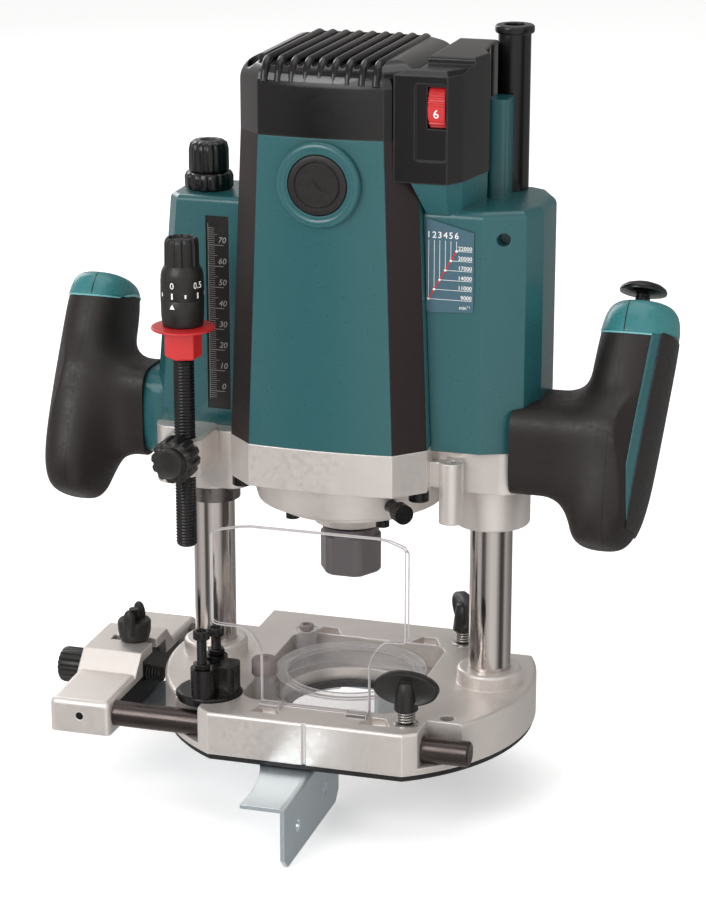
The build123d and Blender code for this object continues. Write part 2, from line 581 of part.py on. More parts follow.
with BuildPart() as motor_bracket:
    with BuildSketch(Plane.XY.offset(127)):
        add(motor_section(*FOOT_SECTION, grow=0.12))
    extrude(amount=BRACKET_TOP - 127)
    with Locations((0, 0, 112)):
        Cone(44, 48, 15.1, align=FOOT)
    # left arm and sleeve boss
    with BuildSketch(Plane.XY.offset(117)):
        with Locations((-66.5, -3)):
            RectangleRounded(45, 50, 8)
    extrude(amount=ARM_TOP - 117)
    with Locations((-COLUMN_X, 0, 112)):
        Cylinder(16.4, ARM_TOP - 112, align=FOOT)
    # arm that carries the depth rod
    with BuildSketch(Plane.XY.offset(131.5)):
        with Locations((DEPTH_X, -42.5)):
            RectangleRounded(18, 35, 7)
    extrude(amount=16.5)
    # right arm and sleeve boss
    with BuildSketch(Plane.XY.offset(125)):
        with Locations((64, 0)):
            RectangleRounded(47, 50, 10)
    extrude(amount=ARM_TOP - 125)
    with Locations((COLUMN_X, 0, SLEEVE_FOOT)):
        Cylinder(18, ARM_TOP - SLEEVE_FOOT, align=FOOT)
    fillet(motor_bracket.edges().filter_by(GeomType.CIRCLE).sort_by(Axis.Z)[0], 1.5)
    # drilled post at the right front
    with Locations((POST_X, POST_Y, 112)):
        Cylinder(5.6, 29, align=FOOT)
    with Locations((POST_X, POST_Y, 141)):
        Cylinder(2.6, 30, mode=Mode.SUBTRACT)
    with Locations((POST_X - 7, POST_Y + 8, 128)):
        Box(12, 16, 12, align=FOOT)
    # boss of the plunge lock lever
    with Locations(Location((-COLUMN_X, 22, LOCK_Z), (90, 0, 0))):
        Cylinder(9.5, 4.4)
        Cylinder(3.0 + FIT, 30, mode=Mode.SUBTRACT)
    # bearing seat, shaft hole, fan chamber
    with Locations((0, 0, 112)):
        Cylinder(18, 12, align=FOOT, mode=Mode.SUBTRACT)
        Cylinder(12, 30, align=FOOT, mode=Mode.SUBTRACT)
    with Locations((0, 0, 129)):
        Cylinder(40, 40, align=FOOT, mode=Mode.SUBTRACT)
    # sleeve bores, rod bore, clamp bore
    with at_columns(100):
        Cylinder(SLEEVE_R, SLEEVE_TOP - 100, align=FOOT, mode=Mode.SUBTRACT)
        Cylinder(COLUMN_R + 0.6, 60, align=FOOT, mode=Mode.SUBTRACT)
    with Locations((DEPTH_X, DEPTH_Y, CLAMP_Z)):
        Cylinder(DEPTH_ROD_R + FIT, 60, mode=Mode.SUBTRACT)
    with Locations(Location((DEPTH_X, CLAMP_FRONT, CLAMP_Z), (90, 0, 0))):
        Cylinder(3.0 + FIT, 12, mode=Mode.SUBTRACT)
    # spindle lock pin bore
    with Locations(Rotation(0, 0, PIN_ANGLE) * Location((48, 0, PIN_Z), (0, 90, 0))):
        Cylinder(3.0 + FIT, 26, mode=Mode.SUBTRACT)
    # slots along the lower edge of the front skirt
    with Locations(*[(x, -54, 127) for x in (-21, 0, 21)]):
        Box(13, 4, 6, mode=Mode.SUBTRACT)
    # screw holes
    with GridLocations(85, 68, 2, 2):
        Cylinder(2.05, 400, mode=Mode.SUBTRACT)
    with PolarLocations(31, 4, start_angle=45):
        Cylinder(1.95, 240, mode=Mode.SUBTRACT)
pieces["motor_bracket"] = motor_bracket

with BuildPart() as column_sleeves:
    for side in (-1, 1):
        ring_at(side * COLUMN_X, 0, SLEEVE_FOOT, SLEEVE_R, COLUMN_R + FIT, SLEEVE_TOP - SLEEVE_FOOT)
pieces["column_sleeves"] = column_sleeves

with BuildPart() as bearing_retainer:
    with BuildSketch(Plane.XZ):
        with BuildLine():
            Polyline((11.5, 98.5), (17.5, 98.5), (24, 106), (36.5, 108.2), (36.5, 111.95), (11.5, 111.95),
                     close=True)
        make_face()
    revolve(axis=Axis.Z)
    with PolarLocations(31, 4, start_angle=45):
        Cylinder(2.0, 240, mode=Mode.SUBTRACT)
pieces["bearing_retainer"] = bearing_retainer

with BuildPart() as unit_screws:
    # pan heads under the bracket corners
    with BuildSketch(Plane.XY.offset(122.3)):
        with GridLocations(85, 68, 2, 2):
            Circle(4.7)
    extrude(amount=4.6)
    with BuildSketch(Plane.XY.offset(122.3)):
        with GridLocations(85, 68, 2, 2):
            Circle(2.0)
    extrude(amount=30)
    # retainer screws
    with BuildSketch(Plane.XY.offset(103.8)):
        with PolarLocations(31, 4, start_angle=45):
            Circle(3.2)
    extrude(amount=2.8)
    with BuildSketch(Plane.XY.offset(103.8)):
        with PolarLocations(31, 4, start_angle=45):
            Circle(1.9)
    extrude(amount=14)
pieces["unit_screws"] = unit_screws

# ---- housings ----
def corner_strips():
    """Black strips let into the housing corners, tapering with it."""
    with BuildPart(mode=Mode.PRIVATE) as quads:
        for sx in (-1, 1):
            for sy in (-1, 1):
                for z, section in ((HOUSING_FOOT, FOOT_SECTION), (HOUSING_TOP, HEAD_SECTION)):
                    with BuildSketch(Plane.XY.offset(z)):
                        corner_quad(*section, sx, sy)
                loft()
    return quads.part


strips = corner_strips()

with BuildPart() as motor_housing:
    for z, section in ((HOUSING_FOOT, FOOT_SECTION), (HOUSING_TOP, HEAD_SECTION)):
        with BuildSketch(Plane.XY.offset(z)):
            add(motor_section(*section))
    loft()
    add(strips, mode=Mode.SUBTRACT)
    # raised rings round the brush caps
    for sy in (-1, 1):
        with Locations(Location((0, sy * 46.6, BRUSH_Z), (90, 0, 0))):
            Cylinder(18.2, 11)
    with Locations((0, 0, 0)):
        Cylinder(FIELD_R, 2 * WEB_FOOT, mode=Mode.SUBTRACT)
        Cylinder(13, 2 * HOUSING_TOP + 20, mode=Mode.SUBTRACT)
    with Locations((0, 0, HOUSING_FOOT)):
        with GridLocations(85, 68, 2, 2):
            Cylinder(2.05, 14, mode=Mode.SUBTRACT)
    with Locations(Location((0, 0, BRUSH_Z), (90, 0, 0))):
        Cylinder(6.1, 130, mode=Mode.SUBTRACT)
    for sy in (-1, 1):
        with Locations(Location((0, sy * 54, BRUSH_Z), (90, 0, 0))):
            Cylinder(13.9, 20, mode=Mode.SUBTRACT)
pieces["motor_housing"] = motor_housing

TOWER_FRONT, TOWER_REAR = -18.5, 22.0
SCALE_X, SCALE_W, SCALE_LOW, SCALE_HIGH = -58.7, 11.0, 153.0, 245.0

with BuildPart() as left_housing:
    for z, outer, inner in ((ARM_TOP + 0.05, -92.6, -47.1), (TOWER_TOP, -83.0, -42.7)):
        with BuildSketch(Plane.XY.offset(z)):
            with BuildLine():
                Polyline((inner, TOWER_FRONT), (outer + 5, TOWER_FRONT), (outer, TOWER_FRONT + 6),
                         (outer, TOWER_REAR - 6), (outer + 5, TOWER_REAR), (inner, TOWER_REAR), close=True)
            make_face()
    loft()
    fillet(left_housing.faces().sort_by(Axis.Z)[-1].outer_wire().edges().sort_by(Axis.X)[:-1], 3.0)
    with Locations((SCALE_X, TOWER_FRONT, (SCALE_LOW + SCALE_HIGH) / 2)):
        Box(SCALE_W + 0.2, 3.0, SCALE_HIGH - SCALE_LOW + 0.2, mode=Mode.SUBTRACT)
    with Locations((-COLUMN_X, 0, ARM_TOP)):
        Cylinder(COLUMN_R + 0.6, 105, align=FOOT, mode=Mode.SUBTRACT)
        Cylinder(4.8, 130, align=FOOT, mode=Mode.SUBTRACT)
pieces["left_housing"] = left_housing

with BuildPart() as scale_plates:
    # depth scale on the tower, speed chart on the switch housing
    with Locations((SCALE_X, TOWER_FRONT + 1.0, (SCALE_LOW + SCALE_HIGH) / 2)):
        Box(SCALE_W, 1.0, SCALE_HIGH - SCALE_LOW)
    with Locations((56.2, -30.3, 229)):
        Box(20.5, 0.5, 52)
pieces["scale_plates"] = scale_plates

with BuildPart() as right_housing:
    for z, inner in ((ARM_TOP + 0.05, 47.1), (SWITCH_TOP, 42.6)):
        with BuildSketch(Plane.XY.offset(z)):
            with BuildLine():
                Polyline((inner, -30), (70, -30), (88, -22), (93, -9), (93, 16), (86, 30), (79, 34),
                         (inner, 34),
                         close=True)
            make_face()
    loft()
    fillet(right_housing.faces().sort_by(Axis.Z)[-1].outer_wire().edges().sort_by(Axis.X)[1:], 4.0)
    # neck that leans out of the front face under the dial cover
    neck_rear = [(62.7, 1), (61, 15), (61, 29), (43.7, 29)]
    with BuildSketch(Plane.XY.offset(NECK_FOOT)):
        Polygon((44.3, -30.6), (54, -30.6), (59.5, -26.5), (64.5, -13), (66, -8), *neck_rear, (43.7, -30),
                align=None)
    with BuildSketch(Plane.XY.offset(NECK_TOP)):
        Polygon((40.5, -44), (56.4, -44), (61.4, -35.2), (65.3, -14), (66.4, -8), *neck_rear, (44.2, -37),
                align=None)
    loft(ruled=True)
    # fin beside the cord guard
    with BuildSketch(Plane.XY.offset(SWITCH_TOP - 1)):
        with Locations((68.0, 9)):
            RectangleRounded(9.2, 14.6, 2.5)
    extrude(amount=FIN_TOP - SWITCH_TOP + 1)
    with Locations((COLUMN_X, 0, ARM_TOP)):
        Cylinder(COLUMN_R + 0.6, 105, align=FOOT, mode=Mode.SUBTRACT)
    with Locations((64.5, -18.5, 195)):
        Box(29, 13, 90, mode=Mode.SUBTRACT)
    with Locations((GUARD_X, GUARD_Y, 240)):
        Cylinder(5.0, 30, align=FOOT, mode=Mode.SUBTRACT)
    with Locations(Location((78.6, -26, 244.6), (90, 0, 0))):
        Cylinder(3.0, 14, mode=Mode.SUBTRACT)
pieces["right_housing"] = right_housing

with BuildPart() as switch_and_board:
    # potted speed board in front, switch block behind it
    with Locations((64.5, -23.3, 195)):
        Box(28, 3, 84)
    with Locations((64, -17, 175)):
        Box(24, 9, 34)
pieces["switch_and_board"] = switch_and_board

COVER_RISE = COVER_TOP - HOUSING_TOP - 0.05
COVER_ROUND = 11.0
SLAT_PITCH, SLAT_GAP = 6.4, 3.0

with BuildPart() as top_cover:
    with BuildSketch(Plane.XY.offset(HOUSING_TOP + 0.05)):
        add(motor_section(*HEAD_SECTION))
    extrude(amount=COVER_RISE)
    fillet(top_cover.faces().sort_by(Axis.Z)[-1].outer_wire().edges(), COVER_ROUND)
    # hollow, narrower under the rounded edge
    for inset, height in ((3.0, COVER_RISE - COVER_ROUND), (9.0, COVER_RISE - 5)):
        with BuildSketch(Plane.XY.offset(HOUSING_TOP + 0.05)):
            add(motor_section(*HEAD_SECTION, grow=-inset))
        extrude(amount=height, mode=Mode.SUBTRACT)
    # grooves between the slats, open to the inside along their middles
    for length, depth in ((84, 2.8), (56, 8.0)):
        with BuildSketch(Plane.XY.offset(COVER_TOP - depth)):
            with Locations((-3.4, -3)):
                with GridLocations(SLAT_PITCH, 1, 9, 1):
                    SlotOverall(length, SLAT_GAP, rotation=90)
        extrude(amount=20, mode=Mode.SUBTRACT)
    # screw recess
    with Locations((-33, -34.5, COVER_TOP)):
        Cylinder(4.4, 12, mode=Mode.SUBTRACT)
    with BuildSketch(Plane.XY.offset(HOUSING_TOP + 0.05)):
        for sx in (-1, 1):
            for sy in (-1, 1):
                corner_quad(*HEAD_SECTION, sx, sy)
    extrude(amount=COVER_RISE - 12)
    add(strips)
    with BuildSketch(Plane.XY.offset(HOUSING_TOP)):
        for sx in (-1, 1):
            for sy in (-1, 1):
                corner_quad(*HEAD_SECTION, sx, sy)
    extrude(amount=0.05)
pieces["top_cover"] = top_cover

WINDOW_X = 52.0
DIAL_FACE, DIAL_COVER_TOP = -44.5, 324.5
STEP_Y, STEP_DROP = -24.0, 3.2
FRONT_TOP = DIAL_COVER_TOP - STEP_DROP

with BuildPart() as dial_cover:
    with BuildSketch(Plane.XY.offset(NECK_TOP + 0.1)):
        Polygon((32.6, DIAL_FACE), (57, DIAL_FACE), (62, -35.5), (66, -14), (67, -8), (63.2, 1), (61.5, 15),
                (61.5, 30), (42.6, 30), (42.6, -34.5), align=None)
    extrude(amount=DIAL_COVER_TOP - NECK_TOP - 0.1)
    # the front part stands lower than the rear one
    with Locations((50, STEP_Y, DIAL_COVER_TOP)):
        Box(50, 40, 2 * STEP_DROP, align=(Align.CENTER, Align.MAX, Align.CENTER), mode=Mode.SUBTRACT)
    front_top = dial_cover.edges().filter_by_position(Axis.Z, FRONT_TOP - 0.1, FRONT_TOP + 0.1)
    chamfer(front_top.sort_by(Axis.Y)[:3], 2.2)
    fillet(dial_cover.faces().sort_by(Axis.Z)[-1].edges(), 1.6)
    # shallow panel round the dial
    with BuildSketch(Plane.XZ.offset(-DIAL_FACE - 1.0)):
        with Locations((WINDOW_X - 2.6, DIAL_Z - 6.5)):
            RectangleRounded(14.0, 34, 1.5)
    extrude(amount=5, mode=Mode.SUBTRACT)
    # dial chamber, window and axle
    with Locations((WINDOW_X, -41.5, DIAL_Z)):
        Box(10, 21.5, 28, align=(Align.CENTER, Align.MIN, Align.CENTER), mode=Mode.SUBTRACT)
    with Locations((WINDOW_X, -41, DIAL_Z)):
        Box(8.6, 8, 18.4, align=(Align.CENTER, Align.MAX, Align.CENTER), mode=Mode.SUBTRACT)
    with Locations(Location((WINDOW_X, DIAL_Y, DIAL_Z), (0, 90, 0))):
        Cylinder(1.9, 10.4)
pieces["dial_cover"] = dial_cover

with BuildPart() as speed_dial:
    with BuildSketch(Plane.YZ.offset(WINDOW_X - 3.9)):
        with Locations((DIAL_Y, DIAL_Z)):
            Circle(DIAL_R)
            with PolarLocations(DIAL_R, 30):
                Circle(0.5, mode=Mode.SUBTRACT)
            Circle(1.9 + FIT, mode=Mode.SUBTRACT)
    extrude(amount=7.8)
pieces["speed_dial"] = speed_dial

with BuildPart() as cord_guard:
    ring_at(GUARD_X, GUARD_Y, SWITCH_TOP + 0.05, 7.5, 5.0, 73)
    ring_at(GUARD_X, GUARD_Y, 328.6, 9.0, 5.0, 3.9)
    fillet(cord_guard.edges().filter_by_position(Axis.Z, 328.5, 333).sort_by(SortBy.LENGTH)[-2:], 1.2)
pieces["cord_guard"] = cord_guard

with BuildPart() as power_cord:
    with Locations((GUARD_X, GUARD_Y, 240.5)):
        Cylinder(4.6, 86, align=FOOT)
pieces["power_cord"] = power_cord

# ---- brushes and motor ----
with BuildPart() as brush_caps:
    for sy in (-1, 1):
        with Locations(Location((0, sy * 48.4, BRUSH_Z), (90, 0, 0))):
            Cylinder(13.85, 8.6)
        with Locations((0, sy * 52.7, BRUSH_Z)):
            Box(11, 2.4, 1.8, rotation=(0, 40, 0), mode=Mode.SUBTRACT)
    fillet(brush_caps.edges().filter_by(GeomType.CIRCLE).group_by(Axis.Y)[0], 1.0)
    fillet(brush_caps.edges().filter_by(GeomType.CIRCLE).group_by(Axis.Y)[-1], 1.0)
pieces["brush_caps"] = brush_caps

with BuildPart() as brush_sets:
    # brass holders with a carbon brush in each
    for sy in (-1, 1):
        with Locations(Location((0, sy * 30.5, BRUSH_Z), (90, 0, 0))):
            Cylinder(6.0, 26)
        with Locations((0, sy * 30.5, BRUSH_Z)):
            Box(6.6, 27, 6.6, mode=Mode.SUBTRACT)
    for sy in (-1, 1):
        with Locations((0, sy * 25, BRUSH_Z)):
            Box(6.4, 21, 6.4)
pieces["brush_sets"] = brush_sets

with BuildPart() as field_core:
    with BuildSketch(Plane.XY.offset(160)):
        Circle(FIELD_R)
        Circle(23.2, mode=Mode.SUBTRACT)
        for turn in (0, 180):
            SlotArc(CenterArc((0, 0), 30, turn - 40, 80), 6, mode=Mode.SUBTRACT)
    extrude(amount=55)
pieces["field_core"] = field_core

with BuildPart() as ball_bearings:
    for foot, outer, inner, height in ((112.2, 18.0, 8.0, 11.8), (282.0, 13.0, 5.0, 7.9)):
        with BuildSketch(Plane.XZ):
            with Locations(((outer + inner) / 2, foot + height / 2)):
                Rectangle(outer - inner, height)
                for side in (-1, 1):
                    with Locations((0, side * height / 2)):
                        Rectangle((outer - inner) * 0.4, 1.0, mode=Mode.SUBTRACT)
        revolve(axis=Axis.Z)
pieces["ball_bearings"] = ball_bearings

with BuildPart() as spindle:
    with BuildSketch(Plane.XZ):
        with BuildLine():
            Polyline((0, 84), (10, 84), (10, 101), (7.95, 101), (7.95, 126), (7, 126), (7, 225), (4.95, 225),
                     (4.95, 289), (0, 289), close=True)
        make_face()
    revolve(axis=Axis.Z)
    with Locations((0, 0, 84)):
        Cylinder(8.2, 16, align=FOOT, mode=Mode.SUBTRACT)
pieces["spindle"] = spindle

with BuildPart() as armature:
    # laminated core with slots, commutator above it
    with BuildSketch(Plane.XY.offset(160)):
        Circle(22.5)
        with PolarLocations(19.5, 12):
            Circle(2.2, mode=Mode.SUBTRACT)
        Circle(7.0, mode=Mode.SUBTRACT)
    extrude(amount=55)
    with BuildSketch(Plane.XY.offset(255)):
        Circle(14)
        with PolarLocations(14, 24):
            Rectangle(1.2, 0.5, mode=Mode.SUBTRACT)
        Circle(4.95, mode=Mode.SUBTRACT)
    extrude(amount=24)
pieces["armature"] = armature

with BuildPart() as cooling_fan:
    with BuildSketch(Plane.XY.offset(131)):
        Circle(37.5)
        Circle(7.0, mode=Mode.SUBTRACT)
    extrude(amount=2.2)
    with BuildSketch(Plane.XY.offset(131)):
        Circle(12)
        Circle(7.0, mode=Mode.SUBTRACT)
    extrude(amount=14)
    with BuildSketch(Plane.XY.offset(133)):
        with PolarLocations(25, 13):
            Rectangle(24, 1.8, rotation=25)
    extrude(amount=11)
pieces["cooling_fan"] = cooling_fan

COLLET_FOOT, COLLET_TOP = 76.0, 99.5

with BuildPart() as collet:
    with BuildSketch(Plane.XY.offset(COLLET_FOOT)):
        Circle(8.1)
        Circle(SHANK_R, mode=Mode.SUBTRACT)
    extrude(amount=COLLET_TOP - COLLET_FOOT)
    with BuildSketch(Plane.XY.offset(COLLET_FOOT + 4)):
        with PolarLocations(8.2, 6):
            Rectangle(5.0, 0.7)
    extrude(amount=30, mode=Mode.SUBTRACT)
pieces["collet"] = collet

with BuildPart() as collet_nut:
    with BuildSketch(Plane.XY.offset(NUT_FOOT)):
        Circle(NUT_R)
        RegularPolygon(15.6, 6, mode=Mode.INTERSECT)
    extrude(amount=92 - NUT_FOOT)
    with BuildSketch(Plane.XY.offset(92)):
        Circle(13.4)
    extrude(amount=NUT_TOP - 92)
    chamfer(collet_nut.edges().group_by(Axis.Z)[0], 0.8)
    with Locations((0, 0, 80.5)):
        Cylinder(10 + FIT, 30, align=FOOT, mode=Mode.SUBTRACT)
    with Locations((0, 0, 70)):
        Cylinder(8.1 + FIT, 30, align=FOOT, mode=Mode.SUBTRACT)
pieces["collet_nut"] = collet_nut

# ---- depth stop ----
SLEEVE_LOW, POINTER_Z, DEPTH_TOP = 186.0, 198.5, 244.5

with BuildPart() as depth_rod:
    with Locations((DEPTH_X, DEPTH_Y, 95.6)):
        Cylinder(DEPTH_ROD_R, 148, align=FOOT)
    chamfer(depth_rod.edges().group_by(Axis.Z)[0], 0.8)
pieces["depth_rod"] = depth_rod

with BuildPart() as depth_pointer:
    ring_at(DEPTH_X, DEPTH_Y, SLEEVE_LOW, 7.7, DEPTH_ROD_R, POINTER_Z - SLEEVE_LOW)
    ring_at(DEPTH_X, DEPTH_Y, POINTER_Z, 14.7, DEPTH_ROD_R, 3.0)
pieces["depth_pointer"] = depth_pointer

with BuildPart() as depth_fine_knob:
    ring_at(DEPTH_X, DEPTH_Y, POINTER_Z + 3.2, 10.0, DEPTH_ROD_R + FIT, 24.0)
    with BuildSketch(Plane.XY.offset(POINTER_Z + 27.2)):
        with Locations((DEPTH_X, DEPTH_Y)):
            Circle(8.5)
            with PolarLocations(8.6, 16):
                Circle(0.6, mode=Mode.SUBTRACT)
            Circle(DEPTH_ROD_R + FIT, mode=Mode.SUBTRACT)
    extrude(amount=DEPTH_TOP - POINTER_Z - 27.2)
pieces["depth_fine_knob"] = depth_fine_knob

with BuildPart() as depth_clamp_knob:
    with BuildSketch(Plane.XZ.offset(-CLAMP_FRONT + 0.4)):
        with Locations((DEPTH_X, CLAMP_Z)):
            Circle(10.8)
            with PolarLocations(11.4, 8):
                Circle(1.6, mode=Mode.SUBTRACT)
    extrude(amount=9)
    with BuildSketch(Plane.XZ.offset(-CLAMP_FRONT + 9.4)):
        with Locations((DEPTH_X, CLAMP_Z)):
            Circle(6.4)
    extrude(amount=4)
    with BuildSketch(Plane.XZ.offset(-CLAMP_FRONT - 4.2)):
        with Locations((DEPTH_X, CLAMP_Z)):
            Circle(3.0)
    extrude(amount=5)
pieces["depth_clamp_knob"] = depth_clamp_knob

# ---- handles ----
GRIP_LOW, GRIP_HIGH = 106.8, 198.0
CAP_SPLIT = 0.86                         # share of the grip's length below the cap
GRIP_MID = Plane(origin=(0, 0.6, (GRIP_LOW + GRIP_HIGH) / 2), x_dir=(1, 0, 0),
                 z_dir=(0, math.sin(RAKE), math.cos(RAKE)))
GRIP_LENGTH = (GRIP_HIGH - GRIP_LOW) / math.cos(RAKE)
STEM_X = 93.3
# share of the length, half width, half depth
GRIP_SECTIONS = ((-0.5, 9.5, 15), (-0.46, 13.5, 20), (-0.34, 16.4, 25), (0.0, 17.0, 25), (0.3, 15.5, 23.5),
                 (0.46, 13.5, 20.5), (0.5, 11.0, 17))


def grip_blank(side):
    """One raked hand grip with its stem to the motor unit, as a whole."""
    with BuildPart(mode=Mode.PRIVATE) as blank:
        for share, half, depth in GRIP_SECTIONS:
            plane = GRIP_MID.offset(share * GRIP_LENGTH)
            with BuildSketch(plane):
                with Locations((side * HANDLE_X, 0)):
                    Ellipse(half, depth)
        loft()
        for x, y, z, w, h in ((STEM_X, 3, 147, 33, 42), (104, 1, 146, 25, 34), (122, 0, 148, 20, 40)):
            with BuildSketch(Plane.YZ.offset(side * x)):
                with Locations((y, z)):
                    RectangleRounded(w, h, 9)
        loft()
    return blank.part


def along_grip(share):
    """Cutting plane square to the raked grip."""
    return GRIP_MID.offset(share * GRIP_LENGTH)


left_blank, right_blank = grip_blank(-1), grip_blank(1)

with BuildPart() as left_grip:
    add(left_blank)
    split(bisect_by=along_grip(CAP_SPLIT - 0.5), keep=Keep.BOTTOM)
pieces["left_grip"] = left_grip

with BuildPart() as left_grip_cap:
    add(left_blank)
    split(bisect_by=along_grip(CAP_SPLIT - 0.4995), keep=Keep.TOP)
pieces["left_grip_cap"] = left_grip_cap

TRIGGER_W, TRIGGER_L, TRIGGER_STROKE = 13.0, 36.0, 5.0

with BuildPart() as right_grip:
    add(right_blank)
    split(bisect_by=along_grip(CAP_SPLIT - 0.5), keep=Keep.BOTTOM)
    with BuildSketch(GRIP_MID.offset(-2)):
        with Locations((HANDLE_X, 25)):
            Rectangle(TRIGGER_W + 0.6, 26)
    extrude(amount=TRIGGER_L + 0.8, mode=Mode.SUBTRACT)
pieces["right_grip"] = right_grip

with BuildPart() as switch_trigger:
    with BuildSketch(GRIP_MID.offset(-1.6)):
        with Locations((HANDLE_X, 22.8)):
            RectangleRounded(TRIGGER_W, 10.4, 4)
    extrude(amount=TRIGGER_L)
pieces["switch_trigger"] = switch_trigger

with BuildPart() as right_grip_cap:
    add(right_blank)
    split(bisect_by=along_grip(CAP_SPLIT - 0.4995), keep=Keep.TOP)
    with BuildSketch(along_grip(0.5)):
        with Locations((HANDLE_X, 0)):
            Circle(4.1)
    extrude(amount=-12, mode=Mode.SUBTRACT)
pieces["right_grip_cap"] = right_grip_cap

with BuildPart() as lock_button:
    with BuildSketch(along_grip(0.5).offset(-7)):
        with Locations((HANDLE_X, 0)):
            Circle(4.0)
    extrude(amount=11)
    with BuildSketch(along_grip(0.5).offset(3.6)):
        with Locations((HANDLE_X, 0)):
            Circle(10)
    extrude(amount=4.2)
    fillet(lock_button.edges().filter_by(GeomType.CIRCLE).group_by(Axis.Z)[-1], 2.0)
pieces["lock_button"] = lock_button

# ---- plunge lock lever and spindle lock pin ----
with BuildPart() as plunge_lock_lever:
    with BuildSketch(Plane.XZ.offset(-24.5)):
        with BuildLine():
            Polyline((-COLUMN_X, LOCK_Z + 9), (-COLUMN_X - 8, LOCK_Z + 8), (-103, LOCK_Z - 8),
                     (-106, LOCK_Z - 15), (-99, LOCK_Z - 18), (-COLUMN_X, LOCK_Z - 9), close=True)
        make_face()
        with Locations((-COLUMN_X, LOCK_Z)):
            Circle(9)
    extrude(amount=-8)
    fillet(plunge_lock_lever.edges().filter_by(Axis.Y), 2.0)
    with Locations(Location((-COLUMN_X, 20.6, LOCK_Z), (90, 0, 0))):
        Cylinder(3.0, 8)
pieces["plunge_lock_lever"] = plunge_lock_lever

with BuildPart() as spindle_lock_pin:
    with Locations(Rotation(0, 0, PIN_ANGLE) * Location((50, 0, PIN_Z), (0, 90, 0))):
        Cylinder(3.0, 20)
    with Locations(Rotation(0, 0, PIN_ANGLE) * Location((57.5, 0, PIN_Z), (0, 90, 0))):
        Cylinder(4.6, 6)
pieces["spindle_lock_pin"] = spindle_lock_pin

# ==== export ====
for label, piece in pieces.items():
    piece.part.label = label
    export_step(piece.part, f"parts/{label}.step")
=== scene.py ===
import math

import bmesh
import bpy
import numpy as np
from mathutils import Matrix, Vector


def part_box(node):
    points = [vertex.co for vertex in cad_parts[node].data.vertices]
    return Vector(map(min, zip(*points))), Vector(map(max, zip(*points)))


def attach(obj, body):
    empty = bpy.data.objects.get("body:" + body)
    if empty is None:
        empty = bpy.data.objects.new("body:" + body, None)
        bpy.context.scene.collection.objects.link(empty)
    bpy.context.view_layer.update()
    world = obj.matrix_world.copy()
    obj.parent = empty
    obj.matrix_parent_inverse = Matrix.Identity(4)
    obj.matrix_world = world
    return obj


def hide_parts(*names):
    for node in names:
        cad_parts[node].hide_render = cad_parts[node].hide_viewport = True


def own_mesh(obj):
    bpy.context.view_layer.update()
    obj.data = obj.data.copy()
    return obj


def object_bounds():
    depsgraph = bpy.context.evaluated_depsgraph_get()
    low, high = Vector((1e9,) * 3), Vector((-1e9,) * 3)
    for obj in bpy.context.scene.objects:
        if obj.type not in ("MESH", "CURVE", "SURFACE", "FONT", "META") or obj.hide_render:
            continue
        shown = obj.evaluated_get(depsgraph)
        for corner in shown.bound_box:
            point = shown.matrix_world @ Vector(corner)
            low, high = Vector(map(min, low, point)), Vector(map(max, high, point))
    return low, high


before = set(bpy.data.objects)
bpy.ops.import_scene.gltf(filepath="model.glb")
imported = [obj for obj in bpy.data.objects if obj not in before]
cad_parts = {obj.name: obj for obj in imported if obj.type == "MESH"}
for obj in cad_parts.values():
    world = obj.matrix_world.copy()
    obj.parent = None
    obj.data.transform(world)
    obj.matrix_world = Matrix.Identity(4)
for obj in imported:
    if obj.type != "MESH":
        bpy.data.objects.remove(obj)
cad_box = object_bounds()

# Plunge router. Meshes are drawn in millimetres and written in metres, in the CAD model's frame.
MM = 0.001
TURN = 2 * math.pi

FRONT = (0, -1, 0)

# Driving dimensions in millimetres; the other places come from the frame.
UNIT_MIDDLE = 220.0             # height of the motor unit's middle
SEAM_X = 128.8                  # distance of the grips' parting line from the middle plane
RAKE = math.radians(28)         # lean of the grips towards the back
UP_GRIP = Vector((0, math.sin(RAKE), math.cos(RAKE)))
LEFT_GRIP = Vector((-130.2, 0.3, 152.5))
RIGHT_GRIP = Vector((129.0, 1.0, 153.5))
RIGHT_LEAN = 0.075              # how far the right grip leans outwards as it rises
STEM_Z = 146.0                  # height of the stems that join the grips to the motor unit
BLEND = 13.0                    # softness of the corner between grip and stem
CAP_LINE = 46.5                 # distance of the cap's edge from the grip's middle, along its axis


# ==== places taken from the frame ====
def extent(node):
    """Lowest corner, highest corner and middle of a CAD node, in millimetres."""
    low, high = (Vector(corner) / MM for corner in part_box(node))
    return low, high, (low + high) / 2


def standing(x, y, z=0.0):
    """Placement whose Z axis is a vertical line through x, y."""
    return Matrix.Translation((x, y, z))


def facing(x, y, z, direction):
    """Placement whose Z axis points along direction from x, y, z, with its Y axis as near up as it can be."""
    forward = Vector(direction).normalized()
    side = Vector((0, 0, 1)).cross(forward)
    side = side.normalized() if side.length > 1e-6 else Vector((1, 0, 0))
    turn = Matrix((side, forward.cross(side), forward)).transposed().to_4x4()
    return Matrix.Translation((x, y, z)) @ turn


# ==== materials ====
def srgb(red, green, blue):
    """Linear colour of an 8-bit screen colour."""
    linear = [c / 12.92 if c <= 0.04045 else ((c + 0.055) / 1.055) ** 2.4
              for c in (red / 255, green / 255, blue / 255)]
    return (*linear, 1.0)


def shade(colour, factor, lift=0.0):
    """A colour made darker or lighter."""
    return (*(min(1.0, c * factor + lift) for c in colour[:3]), 1.0)


